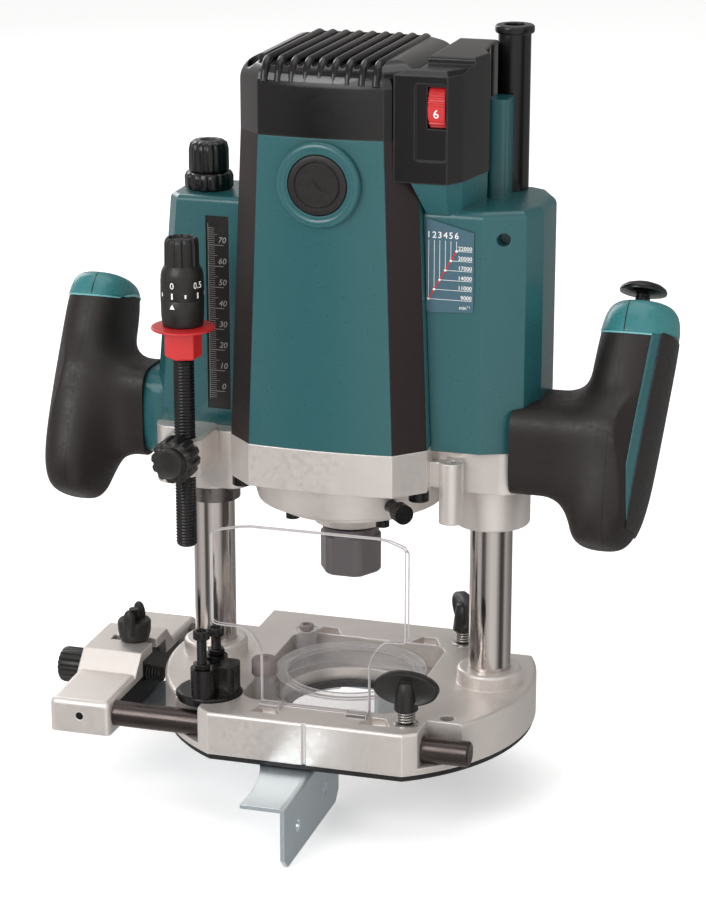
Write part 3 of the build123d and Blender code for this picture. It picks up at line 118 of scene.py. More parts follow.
class Shader:
    """The node tree of a material or a world, built up with short calls."""

    def __init__(self, owner):
        owner.use_nodes = True
        self.owner = owner
        self.tree = owner.node_tree
        self.surface = self.tree.nodes.get("Principled BSDF")
        self.place = self.node("ShaderNodeTexCoord").outputs["Object"]

    def node(self, kind, **settings):
        made = self.tree.nodes.new(kind)
        for key, value in settings.items():
            setattr(made, key, value)
        return made

    def join(self, output, target):
        self.tree.links.new(output, target)

    def fill(self, target, value):
        """Gives an input a number, a tuple or another node's output."""
        if isinstance(value, (int, float, tuple)):
            target.default_value = value
        else:
            self.join(value, target)

    def math(self, operation, *values):
        """A maths node; each value is a number or an output."""
        made = self.node("ShaderNodeMath", operation=operation)
        for target, value in zip(made.inputs, values):
            self.fill(target, value)
        return made.outputs[0]

    def vector(self, operation, *values, result="Vector"):
        """A vector maths node; each value is a tuple or an output."""
        made = self.node("ShaderNodeVectorMath", operation=operation)
        for target, value in zip(made.inputs, values):
            self.fill(target, value)
        return made.outputs[result]

    def axes(self, vector):
        """The x, y and z outputs of a vector."""
        made = self.node("ShaderNodeSeparateXYZ")
        self.join(vector, made.inputs[0])
        return made.outputs

    def ray(self, kind):
        """1 for rays of this kind, 0 for others."""
        return self.node("ShaderNodeLightPath").outputs[kind]

    def stretched(self, stretch):
        """Object coordinates, scaled along each axis."""
        mapping = self.node("ShaderNodeMapping")
        mapping.inputs["Scale"].default_value = stretch
        self.join(self.place, mapping.inputs["Vector"])
        return mapping.outputs["Vector"]

    def noise(self, size, detail=2.0, stretch=None):
        """Noise with features of about this size in millimetres, from 0 to 1."""
        made = self.node("ShaderNodeTexNoise")
        made.inputs["Scale"].default_value = 1 / (size * MM)
        made.inputs["Detail"].default_value = detail
        self.join(self.stretched(stretch) if stretch else self.place, made.inputs["Vector"])
        return made.outputs[0]

    def remap(self, value, start, end, low, high):
        """A value moved from the range start to end to the range low to high."""
        made = self.node("ShaderNodeMapRange")
        for name, number in (("From Min", start), ("From Max", end), ("To Min", low), ("To Max", high)):
            made.inputs[name].default_value = number
        self.join(value, made.inputs["Value"])
        return made.outputs["Result"]

    def spread(self, noise, low, high):
        """Noise, most of which lies between 0.3 and 0.7, moved to the range low to high."""
        return self.remap(noise, 0.3, 0.7, low, high)

    def blend(self, share, first, second):
        """A colour between first and second; each is a colour or an output."""
        made = self.node("ShaderNodeMix", data_type="RGBA")
        self.join(share, made.inputs[0])
        self.fill(made.inputs[6], first)
        self.fill(made.inputs[7], second)
        return made.outputs[2]

    def mix(self, share, first, second):
        """A surface or background between first and second."""
        made = self.node("ShaderNodeMixShader")
        for target, output in zip(made.inputs, (share, first, second)):
            self.join(output, target)
        return made.outputs[0]

    def softened(self, radius):
        """The surface's direction with its edges rounded by this radius in millimetres."""
        made = self.node("ShaderNodeBevel", samples=4)
        made.inputs["Radius"].default_value = radius * MM
        return made.outputs["Normal"]

    def edge_share(self, soft, start, full, low, high):
        """From low on flat faces to high on edges, where the softened direction leaves the true one."""
        true = self.node("ShaderNodeNewGeometry").outputs["Normal"]
        return self.remap(self.vector("DOT_PRODUCT", soft, true, result="Value"), start, full, low, high)

    def crowned(self, normal, crown, lean):
        """A direction turned outwards with distance from the motor unit's middle, as on a bulging face."""
        rise = crown * 0.6
        shift = (lean, 0.0, -rise * UNIT_MIDDLE * MM)
        away = self.vector("MULTIPLY_ADD", self.place, (crown, crown, rise), shift)
        return self.vector("NORMALIZE", self.vector("ADD", normal, away))

    def bump(self, height, depth, normal=None):
        """The surface's direction, roughened by a height from 0 to 1 that stands for depth millimetres."""
        made = self.node("ShaderNodeBump")
        made.inputs["Distance"].default_value = depth * MM
        self.join(height, made.inputs["Height"])
        if normal is not None:
            self.join(normal, made.inputs["Normal"])
        return made.outputs["Normal"]

    def parting_line(self, seam):
        """1 on a thin line at this distance from the middle plane, 0 elsewhere."""
        side = self.math("ABSOLUTE", self.axes(self.place)[0])
        away = self.math("ABSOLUTE", self.math("SUBTRACT", side, seam * MM))
        return self.math("LESS_THAN", away, 0.3 * MM)


def finish(name, colour, rough, metal=0.0, grain=0.4, depth=0.006, mottle=0.08, round_edge=0.3,
           edge_highlight=0.0, coat=0.0, stretch=None, spread=0.08, seam=None, crown=0.0,
           lean=0.0, shine=0.5):
    """A surface with grain, slow changes of tone, uneven gloss, softened edges and painted highlights along
    its edges. Sizes in mm.

    seam is the distance from the middle plane at which a moulding's parting line runs round it, and crown the
    slight bulge of its flat faces, as turn of the surface per metre from the motor unit's middle, shifted by
    lean.
    """
    shader = Shader(bpy.data.materials.new(name))
    tone = shader.noise(9.0, 4.0, stretch)
    tone = shader.blend(tone, shade(colour, 1 - mottle), shade(colour, 1 + mottle))
    normal = shader.softened(round_edge)
    # painted highlight: the edges are painted lighter, standing in for the light caught along them
    if edge_highlight:
        edge_highlight_share = shader.edge_share(normal, 0.995, 0.88, 0.0, edge_highlight)
        tone = shader.blend(edge_highlight_share, tone, shade(colour, 1.5, 0.09))
    if seam:
        tone = shader.blend(shader.parting_line(seam), tone, shade(colour, 0.12))
    if crown:
        normal = shader.crowned(normal, crown, lean)
    gloss = shader.spread(shader.noise(2.2, 5.0, stretch), max(0.02, rough - spread), rough + spread)
    inputs = {
        "Base Color": tone,
        "Roughness": gloss,
        "Normal": shader.bump(shader.noise(grain, 3.0, stretch), depth, normal),
        "Metallic": metal,
        "Specular IOR Level": shine,
        "Coat Weight": coat,
        "Coat Roughness": 0.08,
    }
    for slot, value in inputs.items():
        shader.fill(shader.surface.inputs[slot], value)
    return shader.owner


def clear_plastic(name, tint, body, edge):
    """Clear moulding: lets light straight through, shines like glass, and turns milky along its edges."""
    shader = Shader(bpy.data.materials.new(name))
    milky = shader.surface
    milky.inputs["Base Color"].default_value = (0.8, 0.79, 0.79, 1.0)
    shader.join(shader.spread(shader.noise(12.0, 4.0), 0.04, 0.1), milky.inputs["Roughness"])
    shader.join(shader.bump(shader.noise(7.0, 2.0), 0.02), milky.inputs["Normal"])
    through = shader.node("ShaderNodeBsdfTransparent")
    shader.join(shader.blend(shader.noise(25.0, 2.0), tint, shade(tint, 0.985)), through.inputs["Color"])
    shine = shader.node("ShaderNodeBsdfGlossy")
    shine.inputs["Roughness"].default_value = 0.05
    shine.inputs["Color"].default_value = (0.85, 0.85, 0.85, 1.0)
    grazing = shader.node("ShaderNodeLayerWeight")
    grazing.inputs["Blend"].default_value = 0.12
    front = shader.math("SUBTRACT", 1.0, shader.node("ShaderNodeNewGeometry").outputs["Backfacing"])
    shine_share = shader.math("MULTIPLY", grazing.outputs["Fresnel"], front)
    glass = shader.mix(shine_share, through.outputs[0], shine.outputs[0])
    # thin walls seen edge on, and rounded corners, gather light
    milk_share = shader.edge_share(shader.softened(0.8), 0.99, 0.8, body, edge)
    whole = shader.mix(shader.math("MULTIPLY", milk_share, front), glass, milky.outputs[0])
    shader.join(whole, shader.tree.nodes["Material Output"].inputs["Surface"])
    return shader.owner


CAST = finish("cast_aluminium", srgb(224, 217, 212), 0.42, metal=0.68, grain=1.1, depth=0.012, mottle=0.04,
              round_edge=0.9, edge_highlight=0.8, crown=0.5)
TEAL = finish("teal_housing", srgb(32, 88, 92), 0.3, grain=2.5, depth=0.006, mottle=0.03, round_edge=0.9,
              edge_highlight=0.22, coat=0.3, spread=0.03, crown=2.5, lean=-0.06)
BLACK_GLOSS = finish("black_cover", srgb(13, 11, 11), 0.22, grain=3.0, depth=0.006, mottle=0.06,
                     round_edge=1.1, edge_highlight=0.5, coat=0.3, spread=0.03, crown=1.2, shine=0.3)
BLACK_NYLON = finish("black_nylon", srgb(27, 25, 24), 0.42, grain=0.35, depth=0.01, mottle=0.15,
                     round_edge=0.4, edge_highlight=0.08)
RUBBER = finish("grip_rubber", srgb(26, 19, 17), 0.55, grain=0.3, depth=0.02, mottle=0.1, round_edge=0.5)
RUBBER_SEAM = finish("grip_rubber_moulding", srgb(26, 19, 17), 0.5, grain=0.3, depth=0.02, mottle=0.1,
                     round_edge=0.5, seam=SEAM_X)
# lighter copy of the housing's teal for the grip caps: painted light from the lamps above, with the
# moulding's parting line
LIT_TEAL_SEAM = finish("grip_cap_teal_painted_light", srgb(54, 122, 125), 0.3, grain=2.5, depth=0.006, mottle=0.04,
                   round_edge=0.5, seam=SEAM_X)
# pale teal for a thin band under each cap's edge: a painted highlight where the edge catches light
CAP_EDGE_HIGHLIGHT = finish("cap_edge_painted_highlight", srgb(120, 184, 188), 0.35, grain=0.3, depth=0.004, round_edge=0.2)
BRIGHT_STEEL = finish("plated_steel", srgb(176, 172, 168), 0.25, metal=0.9, grain=0.2, depth=0.002,
                      mottle=0.1)
# near-black for the brush caps' slots: painted shade
SLOT_SHADE = finish("slot_shadow", srgb(8, 7, 7), 0.7, grain=0.3, depth=0.004, mottle=0.2)
RED = finish("red_plastic", srgb(198, 40, 42), 0.35, round_edge=0.4, edge_highlight=0.1)
CHROME = finish("chromed_steel", srgb(196, 190, 186), 0.13, metal=1.0, grain=0.25, depth=0.001, mottle=0.04,
                round_edge=0.4, stretch=(1, 1, 12), spread=0.04)
DARK_STEEL = finish("dark_steel", srgb(84, 76, 74), 0.3, metal=0.9, grain=0.3, depth=0.004, mottle=0.15,
                    edge_highlight=0.35, stretch=(0.15, 1, 1))
BLACK_STEEL = finish("black_oxide_steel", srgb(24, 22, 22), 0.27, metal=0.35, grain=0.3, mottle=0.2, edge_highlight=0.2)
NUT_STEEL = finish("phosphated_steel", srgb(104, 98, 100), 0.4, metal=0.55, grain=0.3, round_edge=0.5,
                   edge_highlight=0.3)
ZINC = finish("zinc_sheet", srgb(214, 226, 232), 0.3, metal=0.8, grain=6.0, depth=0.002, mottle=0.05,
              round_edge=0.5, edge_highlight=0.25, spread=0.02)
SPRING_STEEL = finish("spring_steel", srgb(120, 116, 114), 0.28, metal=0.95, grain=0.2, depth=0.002,
                      mottle=0.1)
SOLE = finish("sole_plastic", srgb(26, 24, 24), 0.5, grain=0.3, depth=0.008, mottle=0.15)
PRINT = finish("white_print", srgb(236, 234, 232), 0.5, grain=0.2, depth=0.002, mottle=0.03, round_edge=0.05)
# the white print made grey for the depth scale: painted shade from the depth stop's knob
SHADED_PRINT = finish("print_painted_shade", srgb(150, 146, 143), 0.5, grain=0.2, depth=0.002, mottle=0.05,
                   round_edge=0.05)
LABEL = finish("chart_label", srgb(64, 98, 112), 0.4, grain=0.3, depth=0.002, mottle=0.05, round_edge=0.1)
MAUVE = finish("thumbscrew_cap", srgb(138, 124, 123), 0.42, grain=0.3, mottle=0.06, round_edge=0.5, edge_highlight=0.15)
BRASS = finish("brass_holder", srgb(190, 150, 80), 0.3, metal=1.0)
COPPER = finish("copper_segments", srgb(178, 108, 76), 0.35, metal=1.0)
BOARD = finish("potted_board", srgb(30, 70, 44), 0.45)
CLEAR = clear_plastic("clear_sheet", (0.97, 0.963, 0.963, 1.0), 0.03, 0.5)
CLEAR_RING = clear_plastic("clear_moulding", (0.96, 0.955, 0.95, 1.0), 0.3, 0.6)
# pale grey for rods along the clear mouldings' edges: painted highlights
CLEAR_EDGE_HIGHLIGHT = finish("clear_moulding_edge_highlights", srgb(192, 187, 188), 0.15, grain=1.5, depth=0.004, mottle=0.05,
                    coat=0.5)


def two_tone(material, height, colour, rougher):
    """Gives a surface another colour, more roughness and no coat below this height in millimetres."""
    shader = Shader(material)
    inputs = shader.surface.inputs
    below = shader.math("LESS_THAN", shader.axes(shader.place)[2], height * MM)
    upper = inputs["Base Color"].links[0].from_socket
    shader.join(shader.blend(below, upper, colour), inputs["Base Color"])
    gloss = inputs["Roughness"].links[0].from_socket
    shader.join(shader.math("ADD", gloss, shader.math("MULTIPLY", below, rougher)), inputs["Roughness"])
    coat = inputs["Coat Weight"].default_value
    shader.join(shader.math("SUBTRACT", coat, shader.math("MULTIPLY", below, coat)), inputs["Coat Weight"])


COVER = finish("cover_and_corner_strips", srgb(13, 11, 11), 0.22, grain=3.0, depth=0.006, mottle=0.06,
               round_edge=1.1, edge_highlight=0.4, coat=0.7, spread=0.03, crown=3.0, lean=-0.12, shine=0.3)
two_tone(COVER, 290.0, srgb(40, 32, 31), 0.2)

NODE_FINISH = {
    CAST: ("base_casting", "guide_holder", "motor_bracket", "bearing_retainer"),
    TEAL: ("motor_housing", "left_housing", "right_housing", "left_grip_cap", "right_grip_cap"),
    COVER: ("top_cover",),
    BLACK_GLOSS: ("dial_cover", "cord_guard", "brush_caps", "lock_button", "switch_trigger"),
    BLACK_NYLON: ("wing_bolt_front", "wing_bolt_rear", "height_limit_nut", "height_lock_nut",
                  "fine_adjust_screw", "fence_slider", "fence_wing_nut", "cooling_fan", "plunge_lock_lever",
                  "depth_fine_knob", "depth_clamp_knob", "scale_plates"),
    RUBBER: ("left_grip", "right_grip", "power_cord"),
    RED: ("speed_dial", "depth_pointer"),
    CHROME: ("columns",),
    DARK_STEEL: ("guide_rods",),
    BLACK_STEEL: ("base_screws", "height_limit_rod", "turret_screw", "stopper_block", "stop_bolts",
                  "rod_set_screws", "slider_fasteners", "unit_screws", "spindle_lock_pin", "depth_rod",
                  "field_core"),
    NUT_STEEL: ("collet_nut", "collet", "spindle"),
    ZINC: ("fence_plate",),
    SPRING_STEEL: ("return_springs", "clamp_springs", "column_sleeves", "ball_bearings"),
    SOLE: ("base_plate",),
    MAUVE: ("nozzle_screws",),
    BRASS: ("brush_sets",),
    COPPER: ("armature",),
    BOARD: ("switch_and_board",),
    CLEAR: ("chip_deflector",),
    CLEAR_RING: ("dust_nozzle",),
}
for material, names in NODE_FINISH.items():
    for node in names:
        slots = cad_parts[node].data.materials
        slots.clear()
        slots.append(material)


# ==== mesh building ====
def skin(bm, rings, capped=True):
    """Joins closed rings of equally many points into a surface, with flat ends."""
    rows = [[bm.verts.new(point) for point in ring] for ring in rings]
    count = len(rows[0])
    for low, high in zip(rows, rows[1:]):
        for i in range(count):
            j = (i + 1) % count
            bm.faces.new((low[i], low[j], high[j], high[i]))
    if capped:
        bm.faces.new(list(reversed(rows[0])))
        bm.faces.new(rows[-1])
    return rows


def circle(place, radius, height, segments, shape=None):
    """Points round the Z axis of place; shape scales the radius by angle."""
    points = []
    for i in range(segments):
        angle = TURN * i / segments
        reach = radius * (shape(angle) if shape else 1.0)
        points.append(place @ Vector((reach * math.cos(angle), reach * math.sin(angle), height)))
    return points


def oval(place, wide, tall, height, segments):
    """Points of an ellipse round the Z axis of place."""
    angles = [TURN * i / segments for i in range(segments)]
    return [place @ Vector((wide * math.cos(angle), tall * math.sin(angle), height)) for angle in angles]


def turned(bm, place, profile, segments=64, shape=None):
    """A body turned about the Z axis of place: profile holds (radius, height); shape scales the radius."""
    skin(bm, [circle(place, radius, height, segments, shape) for radius, height in profile])


def tube(bm, place, outer, inner, segments=64):
    """A turned ring: outer is the outside profile upwards, inner the hole's radius."""
    profile = [(inner, outer[0][1])] + list(outer) + [(inner, outer[-1][1])]
    rows = skin(bm, [circle(place, radius, height, segments) for radius, height in profile], capped=False)
    for i in range(segments):
        j = (i + 1) % segments
        bm.faces.new((rows[-1][i], rows[-1][j], rows[0][j], rows[0][i]))


def prism(bm, place, outline, low, high, inset=0.0):
    """An outline of (x, y) points pushed from low to high along the Z axis of place, with bevelled ends."""
    points = [Vector(point) for point in outline]
    middle = sum(points, Vector((0, 0))) / len(points)
    reach = max((point - middle).length for point in points)

    def ring(height, shrink):
        scale = 1 - shrink / reach
        return [place @ Vector((*(middle + (point - middle) * scale), height)) for point in points]
    if inset:
        skin(bm, [ring(low, inset), ring(low + inset, 0), ring(high - inset, 0), ring(high, inset)])
    else:
        skin(bm, [ring(low, 0), ring(high, 0)])


def polygon(sides, radius, start=0.0):
    """Corners of a regular polygon."""
    return [(radius * math.cos(start + TURN * i / sides), radius * math.sin(start + TURN * i / sides))
            for i in range(sides)]


def coil(bm, place, radius, wire, low, high, turns, sides=8, steps=28):
    """A coil spring standing on the Z axis of place."""
    rings = []
    for i in range(int(turns * steps) + 1):
        share = i / (turns * steps)
        angle = TURN * turns * share
        out = Vector((math.cos(angle), math.sin(angle), 0))
        centre = out * radius + Vector((0, 0, low + wire + (high - low - 2 * wire) * share))
        section = []
        for k in range(sides):
            bend = TURN * k / sides
            section.append(place @ (centre + out * (wire * math.cos(bend))
                                    + Vector((0, 0, wire * math.sin(bend)))))
        rings.append(section)
    skin(bm, rings)


def threaded(bm, place, radius, low, high, pitch, cut=0.5, segments=28):
    """A threaded rod along the Z axis of place, with chamfered ends."""
    steps = int((high - low) / pitch * 6)
    rings = []
    for i in range(steps + 1):
        height = low + (high - low) * i / steps
        end = min(height - low, high - height)
        ring = []
        for k in range(segments):
            share = (height / pitch - k / segments) % 1.0
            reach = radius - cut * abs(2 * share - 1) ** 0.8
            reach = min(reach, radius - 1.2 + max(0.0, end))
            angle = TURN * k / segments
            ring.append(place @ Vector((reach * math.cos(angle), reach * math.sin(angle), height)))
        rings.append(ring)
    skin(bm, rings)


def flutes(count, cut, width=0.5):
    """A radius factor with flutes cut into a rim: cut is their depth as a share of the radius."""
    def shape(angle):
        phase = (angle * count / TURN) % 1.0
        if phase > width:
            return 1.0
        return 1.0 - cut * math.sin(math.pi * phase / width)
    return shape


def piece(name, bm, material, body, *stands_for, sharp=38, bevel=0.0):
    """Writes a mesh drawn in millimetres as a shown piece that rides on a CAD body."""
    bmesh.ops.remove_doubles(bm, verts=bm.verts, dist=1e-5)
    bmesh.ops.recalc_face_normals(bm, faces=bm.faces)
    bmesh.ops.scale(bm, vec=(MM,) * 3, verts=bm.verts)
    mesh = bpy.data.meshes.new(name)
    bm.to_mesh(mesh)
    bm.free()
    mesh.materials.append(material)
    mesh.shade_smooth()
    mesh.set_sharp_from_angle(angle=math.radians(sharp))
    made = bpy.data.objects.new(name, mesh)
    bpy.context.scene.collection.objects.link(made)
    if bevel:
        edge = made.modifiers.new("edge", "BEVEL")
        edge.width = bevel * MM
        edge.segments = 2
        edge.limit_method = "ANGLE"
        edge.angle_limit = math.radians(sharp)
        edge.harden_normals = True
    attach(made, body)
    if stands_for:
        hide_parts(*stands_for)
    return made


def letters(bm, text, size, place, align="CENTER"):
    """Adds text to a mesh, flat on the XY plane of place and a hair thick."""
    curve = bpy.data.curves.new("letters", "FONT")
    curve.body = text
    curve.size = size
    curve.align_x = align
    curve.align_y = "CENTER"
    curve.extrude = 0.02
    curve.offset = size * 0.008
    curve.resolution_u = 3
    holder = bpy.data.objects.new("letters", curve)
    bpy.context.scene.collection.objects.link(holder)
    bpy.context.view_layer.update()
    evaluated = holder.evaluated_get(bpy.context.evaluated_depsgraph_get())
    mesh = bpy.data.meshes.new_from_object(evaluated)
    mesh.transform(place)
    bm.from_mesh(mesh)
    bpy.data.objects.remove(holder)
    bpy.data.curves.remove(curve)
    bpy.data.meshes.remove(mesh)


def bar(bm, place, x, y, width, height, thick=0.04):
    """A printed stroke or flat plate centred on x, y of the XY plane of place."""
    outline = [(x - width / 2, y - height / 2), (x + width / 2, y - height / 2),
               (x + width / 2, y + height / 2), (x - width / 2, y + height / 2)]
    prism(bm, place, outline, 0.0, thick)


def edge_rods(node, width, angle):
    """Fine rods along the sharp edges of a CAD node's mesh."""
    source = bmesh.new()
    source.from_mesh(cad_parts[node].data)
    bmesh.ops.remove_doubles(source, verts=source.verts, dist=1e-6)
    bm = bmesh.new()
    for edge in source.edges:
        if len(edge.link_faces) == 2 and edge.calc_face_angle(0) > angle:
            start, end = (vert.co / MM for vert in edge.verts)
            long = (end - start).length
            if long > 0.05:
                prism(bm, facing(*start, end - start), polygon(5, width), -0.1, long + 0.1)
    source.free()
    return bm


# ==== rounded bodies ====
def blob(field, low, high, step):
    """Mesh of the surface where field is 0, found on a grid and then drawn onto the surface."""
    axes = [np.arange(a, b + step, step) for a, b in zip(low, high)]
    inside = field(*np.meshgrid(*axes, indexing="ij")) < 0
    corners = [inside[i:inside.shape[0] - 1 + i, j:inside.shape[1] - 1 + j, k:inside.shape[2] - 1 + k]
               for i in (0, 1) for j in (0, 1) for k in (0, 1)]
    mixed = np.any(corners, axis=0) & ~np.all(corners, axis=0)
    index = np.full(mixed.shape, -1)
    index[mixed] = np.arange(mixed.sum())
    points = np.stack([axis[cell] + step / 2 for axis, cell in zip(axes, np.nonzero(mixed))])
    for _ in range(5):
        value = field(*points)
        slope = np.stack([(field(*(points + 0.05 * way)) - field(*(points - 0.05 * way))) / 0.1
                          for way in np.eye(3)[:, :, None]])
        points = points - np.clip(value / np.maximum((slope ** 2).sum(axis=0), 0.05), -1, 1) * slope
    bm = bmesh.new()
    corners = [bm.verts.new(point) for point in points.T]
    for axis in range(3):
        solid = np.moveaxis(inside, axis, 0)
        cells = np.moveaxis(index, axis, 0)
        i, j, k = np.nonzero(solid[1:, 1:-1, 1:-1] != solid[:-1, 1:-1, 1:-1])
        for quad in zip(cells[i, j, k], cells[i, j + 1, k], cells[i, j + 1, k + 1], cells[i, j, k + 1]):
            bm.faces.new([corners[n] for n in quad])
    bmesh.ops.recalc_face_normals(bm, faces=bm.faces)
    bm.normal_update()
    return bm


def patch(source, planes, lift):
    """The part of a surface in front of every plane (point, normal), raised by lift."""
    bm = source.copy()
    for vert in bm.verts:
        vert.co += vert.normal * lift
    for point, normal in planes:
        bmesh.ops.bisect_plane(bm, geom=bm.verts[:] + bm.edges[:] + bm.faces[:], plane_co=point,
                               plane_no=normal, clear_inner=True)
    return bm


def shell(made, thick):
    """Gives an open surface its thickness, inwards."""
    solid = made.modifiers.new("shell", "SOLIDIFY")
    solid.thickness, solid.offset = thick * MM, -1


# ---- grips ----
def grip_field(middle, side, root, half, above, below, lean, stem_y, stem_depth):
    """Raked handle blended into the stem that joins it to the motor unit."""
    def field(x, y, z):
        dy, dz = y - middle.y, z - middle.z
        along = dy * math.sin(RAKE) + dz * math.cos(RAKE)
        across = dy * math.cos(RAKE) - dz * math.sin(RAKE)
        out = side * x - abs(middle.x) - lean * along
        depth = half[1] * (1 - 0.0025 * np.maximum(along, 0))
        ring = (np.abs(out / half[0]) ** 2.3 + np.abs(across / depth) ** 2.3) ** (1 / 2.3)
        power = np.where(along > 0, 7.0, 4.0)
        reach = np.where(along > 0, above, below)
        handle = ((ring ** power + np.abs(along / reach) ** power) ** (1 / power) - 1) * half[0]
        height = 21.5 + 0.02 * np.maximum(side * x - 100, 0)
        stem = ((np.abs((y - stem_y) / stem_depth) ** 4.5
                 + np.abs((z - STEM_Z) / height) ** 4.5) ** (1 / 4.5) - 1) * stem_depth
        stem = np.maximum(stem, np.maximum(side * x - abs(middle.x), root - side * x))
        near = np.clip(0.5 + 0.5 * (stem - handle) / BLEND, 0, 1)
        return stem * (1 - near) + handle * near - BLEND * near * (1 - near)
    return field


def grip(name, cap_name, side, middle, root, *shape):
    """One handle: rubber body, cap over its top and a light teal band along the cap's edge, a painted
    highlight.
    """
    ends = sorted((side * (root - 8), side * 156))
    body = blob(grip_field(middle, side, root - 6, *shape), (ends[0], -54, 90), (ends[1], 58, 218), 1.7)
    wall = (Vector((side * root, 0, 0)), Vector((side, 0, 0)))
    rubber = patch(body, [wall], 0.0)
    bmesh.ops.holes_fill(rubber, edges=[edge for edge in rubber.edges if edge.is_boundary])
    piece(name + "_rubber", rubber, RUBBER_SEAM, "motor_unit", name, sharp=50)
    edge = (middle + UP_GRIP * CAP_LINE - Vector((0, 18, -4)), Vector((0, 0.3, 0.95)))
    cuts = [edge]
    if side < 0:
        slant = Vector((-1.25, 0, 0)) + edge[1]
        cuts.append((Vector((-116.5, 0, 0)) + Vector((0, *edge[0].yz)), slant))
    cap = patch(body, cuts, 0.45)
    shell(piece(cap_name + "_shell", cap, LIT_TEAL_SEAM, "motor_unit", cap_name, sharp=50), 0.9)
    # thin bands just below the cap's edges, in pale teal as a painted highlight
    painted_cap_highlights = bmesh.new()
    for number, (point, normal) in enumerate(cuts):
        way = normal.normalized()
        others = [cut for k, cut in enumerate(cuts) if k != number]
        ribbon = patch(body, [(point - way * 0.9, way), (point, -way)] + others, 0.3)
        scrap = bpy.data.meshes.new("ribbon")
        ribbon.to_mesh(scrap)
        ribbon.free()
        painted_cap_highlights.from_mesh(scrap)
        bpy.data.meshes.remove(scrap)
    shell(piece(cap_name + "_line", painted_cap_highlights, CAP_EDGE_HIGHLIGHT, "motor_unit", sharp=50), 0.5)
    return body


left_body = grip("left_grip", "left_grip_cap", -1, LEFT_GRIP, 97.0,
                 (16.0, 26.0), 53.5, 53.2, 0.0, -2.7, 17.0)
right_body = grip("right_grip", "right_grip_cap", 1, RIGHT_GRIP, 83.0,
                  (17.6, 26.0), 57.5, 56.0, RIGHT_LEAN, -5.0, 24.5)
left_body.free()

# teal rim and black insert along the outer side of the right grip
out = Vector((1, 0, -RIGHT_LEAN)).normalized()
rim_plate = patch(right_body, [
    (RIGHT_GRIP + out * 8.8, out), (RIGHT_GRIP + out * 5.8, out + UP_GRIP * 0.15),
    (RIGHT_GRIP + UP_GRIP * (CAP_LINE + 4), -UP_GRIP), (RIGHT_GRIP - UP_GRIP * 46, UP_GRIP)], 0.35)
shell(piece("right_grip_spine", rim_plate, TEAL, "motor_unit", sharp=50), 0.9)
insert = patch(right_body, [
    (RIGHT_GRIP + out * 12.7, out), (RIGHT_GRIP + UP_GRIP * (CAP_LINE - 4), -UP_GRIP),
    (RIGHT_GRIP + UP_GRIP * (CAP_LINE - 4) + out * 15.5, out - UP_GRIP * 0.6),
    (RIGHT_GRIP - UP_GRIP * 48, UP_GRIP)], 0.7)
shell(piece("right_grip_insert", insert, BLACK_NYLON, "motor_unit", sharp=50), 1.2)
right_body.free()

# teal stub of the left tower under the rubber's edge
bm = bmesh.new()
outline = []
for i in range(48):
    angle = TURN * i / 48
    c, s = math.cos(angle), math.sin(angle)
    outline.append((math.copysign(abs(c) ** 0.65, c) * 15.9, math.copysign(abs(s) ** 0.65, s) * 20.6))
prism(bm, facing(-84, -2.7, STEM_Z, (-1, 0, 0)), outline, 0, 13.4, 0.5)
piece("left_stub", bm, TEAL, "motor_unit", sharp=40)

# lock button: boot, stem and mushroom head on the right cap
low, high, middle = extent("lock_button")
bm = bmesh.new()
place = facing(*(middle + UP_GRIP * 11.0), UP_GRIP)
turned(bm, place, [(8.8, -9.5), (8.6, -6.6), (6.0, -4.8), (3.6, -3.9), (3.3, -0.4), (8.5, 0.2), (10.9, 0.9),
                   (11.1, 1.9), (10.4, 3.2), (8.3, 4.6), (5.0, 5.6), (1.0, 6.0)], 48)
piece("lock_button_head", bm, BLACK_GLOSS, "lock_button", "lock_button", sharp=55)

# ---- depth stop ----
low, high, middle = extent("depth_rod")
ROD = standing(middle.x, middle.y)
DEPTH_PITCH = 1.5
FLAG_TURN = math.radians(-98)   # the pointer's flag and the knob's index mark look this way
bm = bmesh.new()
threaded(bm, ROD, 5.0, low.z, 201.0, DEPTH_PITCH, 0.55)
piece("depth_rod_thread", bm, BLACK_STEEL, "depth_stop", "depth_rod", sharp=50)

low, high, middle = extent("depth_pointer")
bm = bmesh.new()
turned(bm, ROD, [(5.2, high.z - 0.4), (9.0, high.z - 0.2), (14.4, high.z - 0.9), (14.7, high.z - 1.5),
                 (14.4, high.z - 2.0), (9.0, high.z - 1.6), (5.2, high.z - 1.8)], 72)
prism(bm, ROD, polygon(6, 8.6, FLAG_TURN), low.z, high.z - 1.2, 0.9)
piece("depth_pointer_flag", bm, RED, "depth_stop", "depth_pointer", sharp=35, bevel=0.45)

low, high, middle = extent("depth_fine_knob")
knob_top = high.z - 2.6
bm = bmesh.new()
turned(bm, ROD, [(8.0, knob_top - 14.8), (7.8, knob_top - 2.4), (7.4, knob_top - 0.7), (6.6, knob_top),
                 (5.9, knob_top - 0.2), (5.6, knob_top - 1.2), (3.0, knob_top - 1.2)],
       120, flutes(10, 0.1, 0.42))
turned(bm, ROD, [(9.3, low.z), (9.75, low.z + 4), (9.95, 213.6), (9.75, 213.9), (9.95, 214.2), (9.95, 218),
                 (9.7, 225.0), (9.2, 227.0), (8.3, 228.6), (7.9, 229.4), (5.0, 229.6)], 96)
piece("depth_knob_barrel", bm, BLACK_NYLON, "depth_knob", "depth_fine_knob", sharp=40)



def on_barrel(angle, radius, height):
    """Placement that looks outwards from the depth knob's barrel."""
    way = Vector((math.cos(angle), math.sin(angle), 0))
    return facing(*(ROD.translation + Vector((0, 0, height)) + way * radius), way)


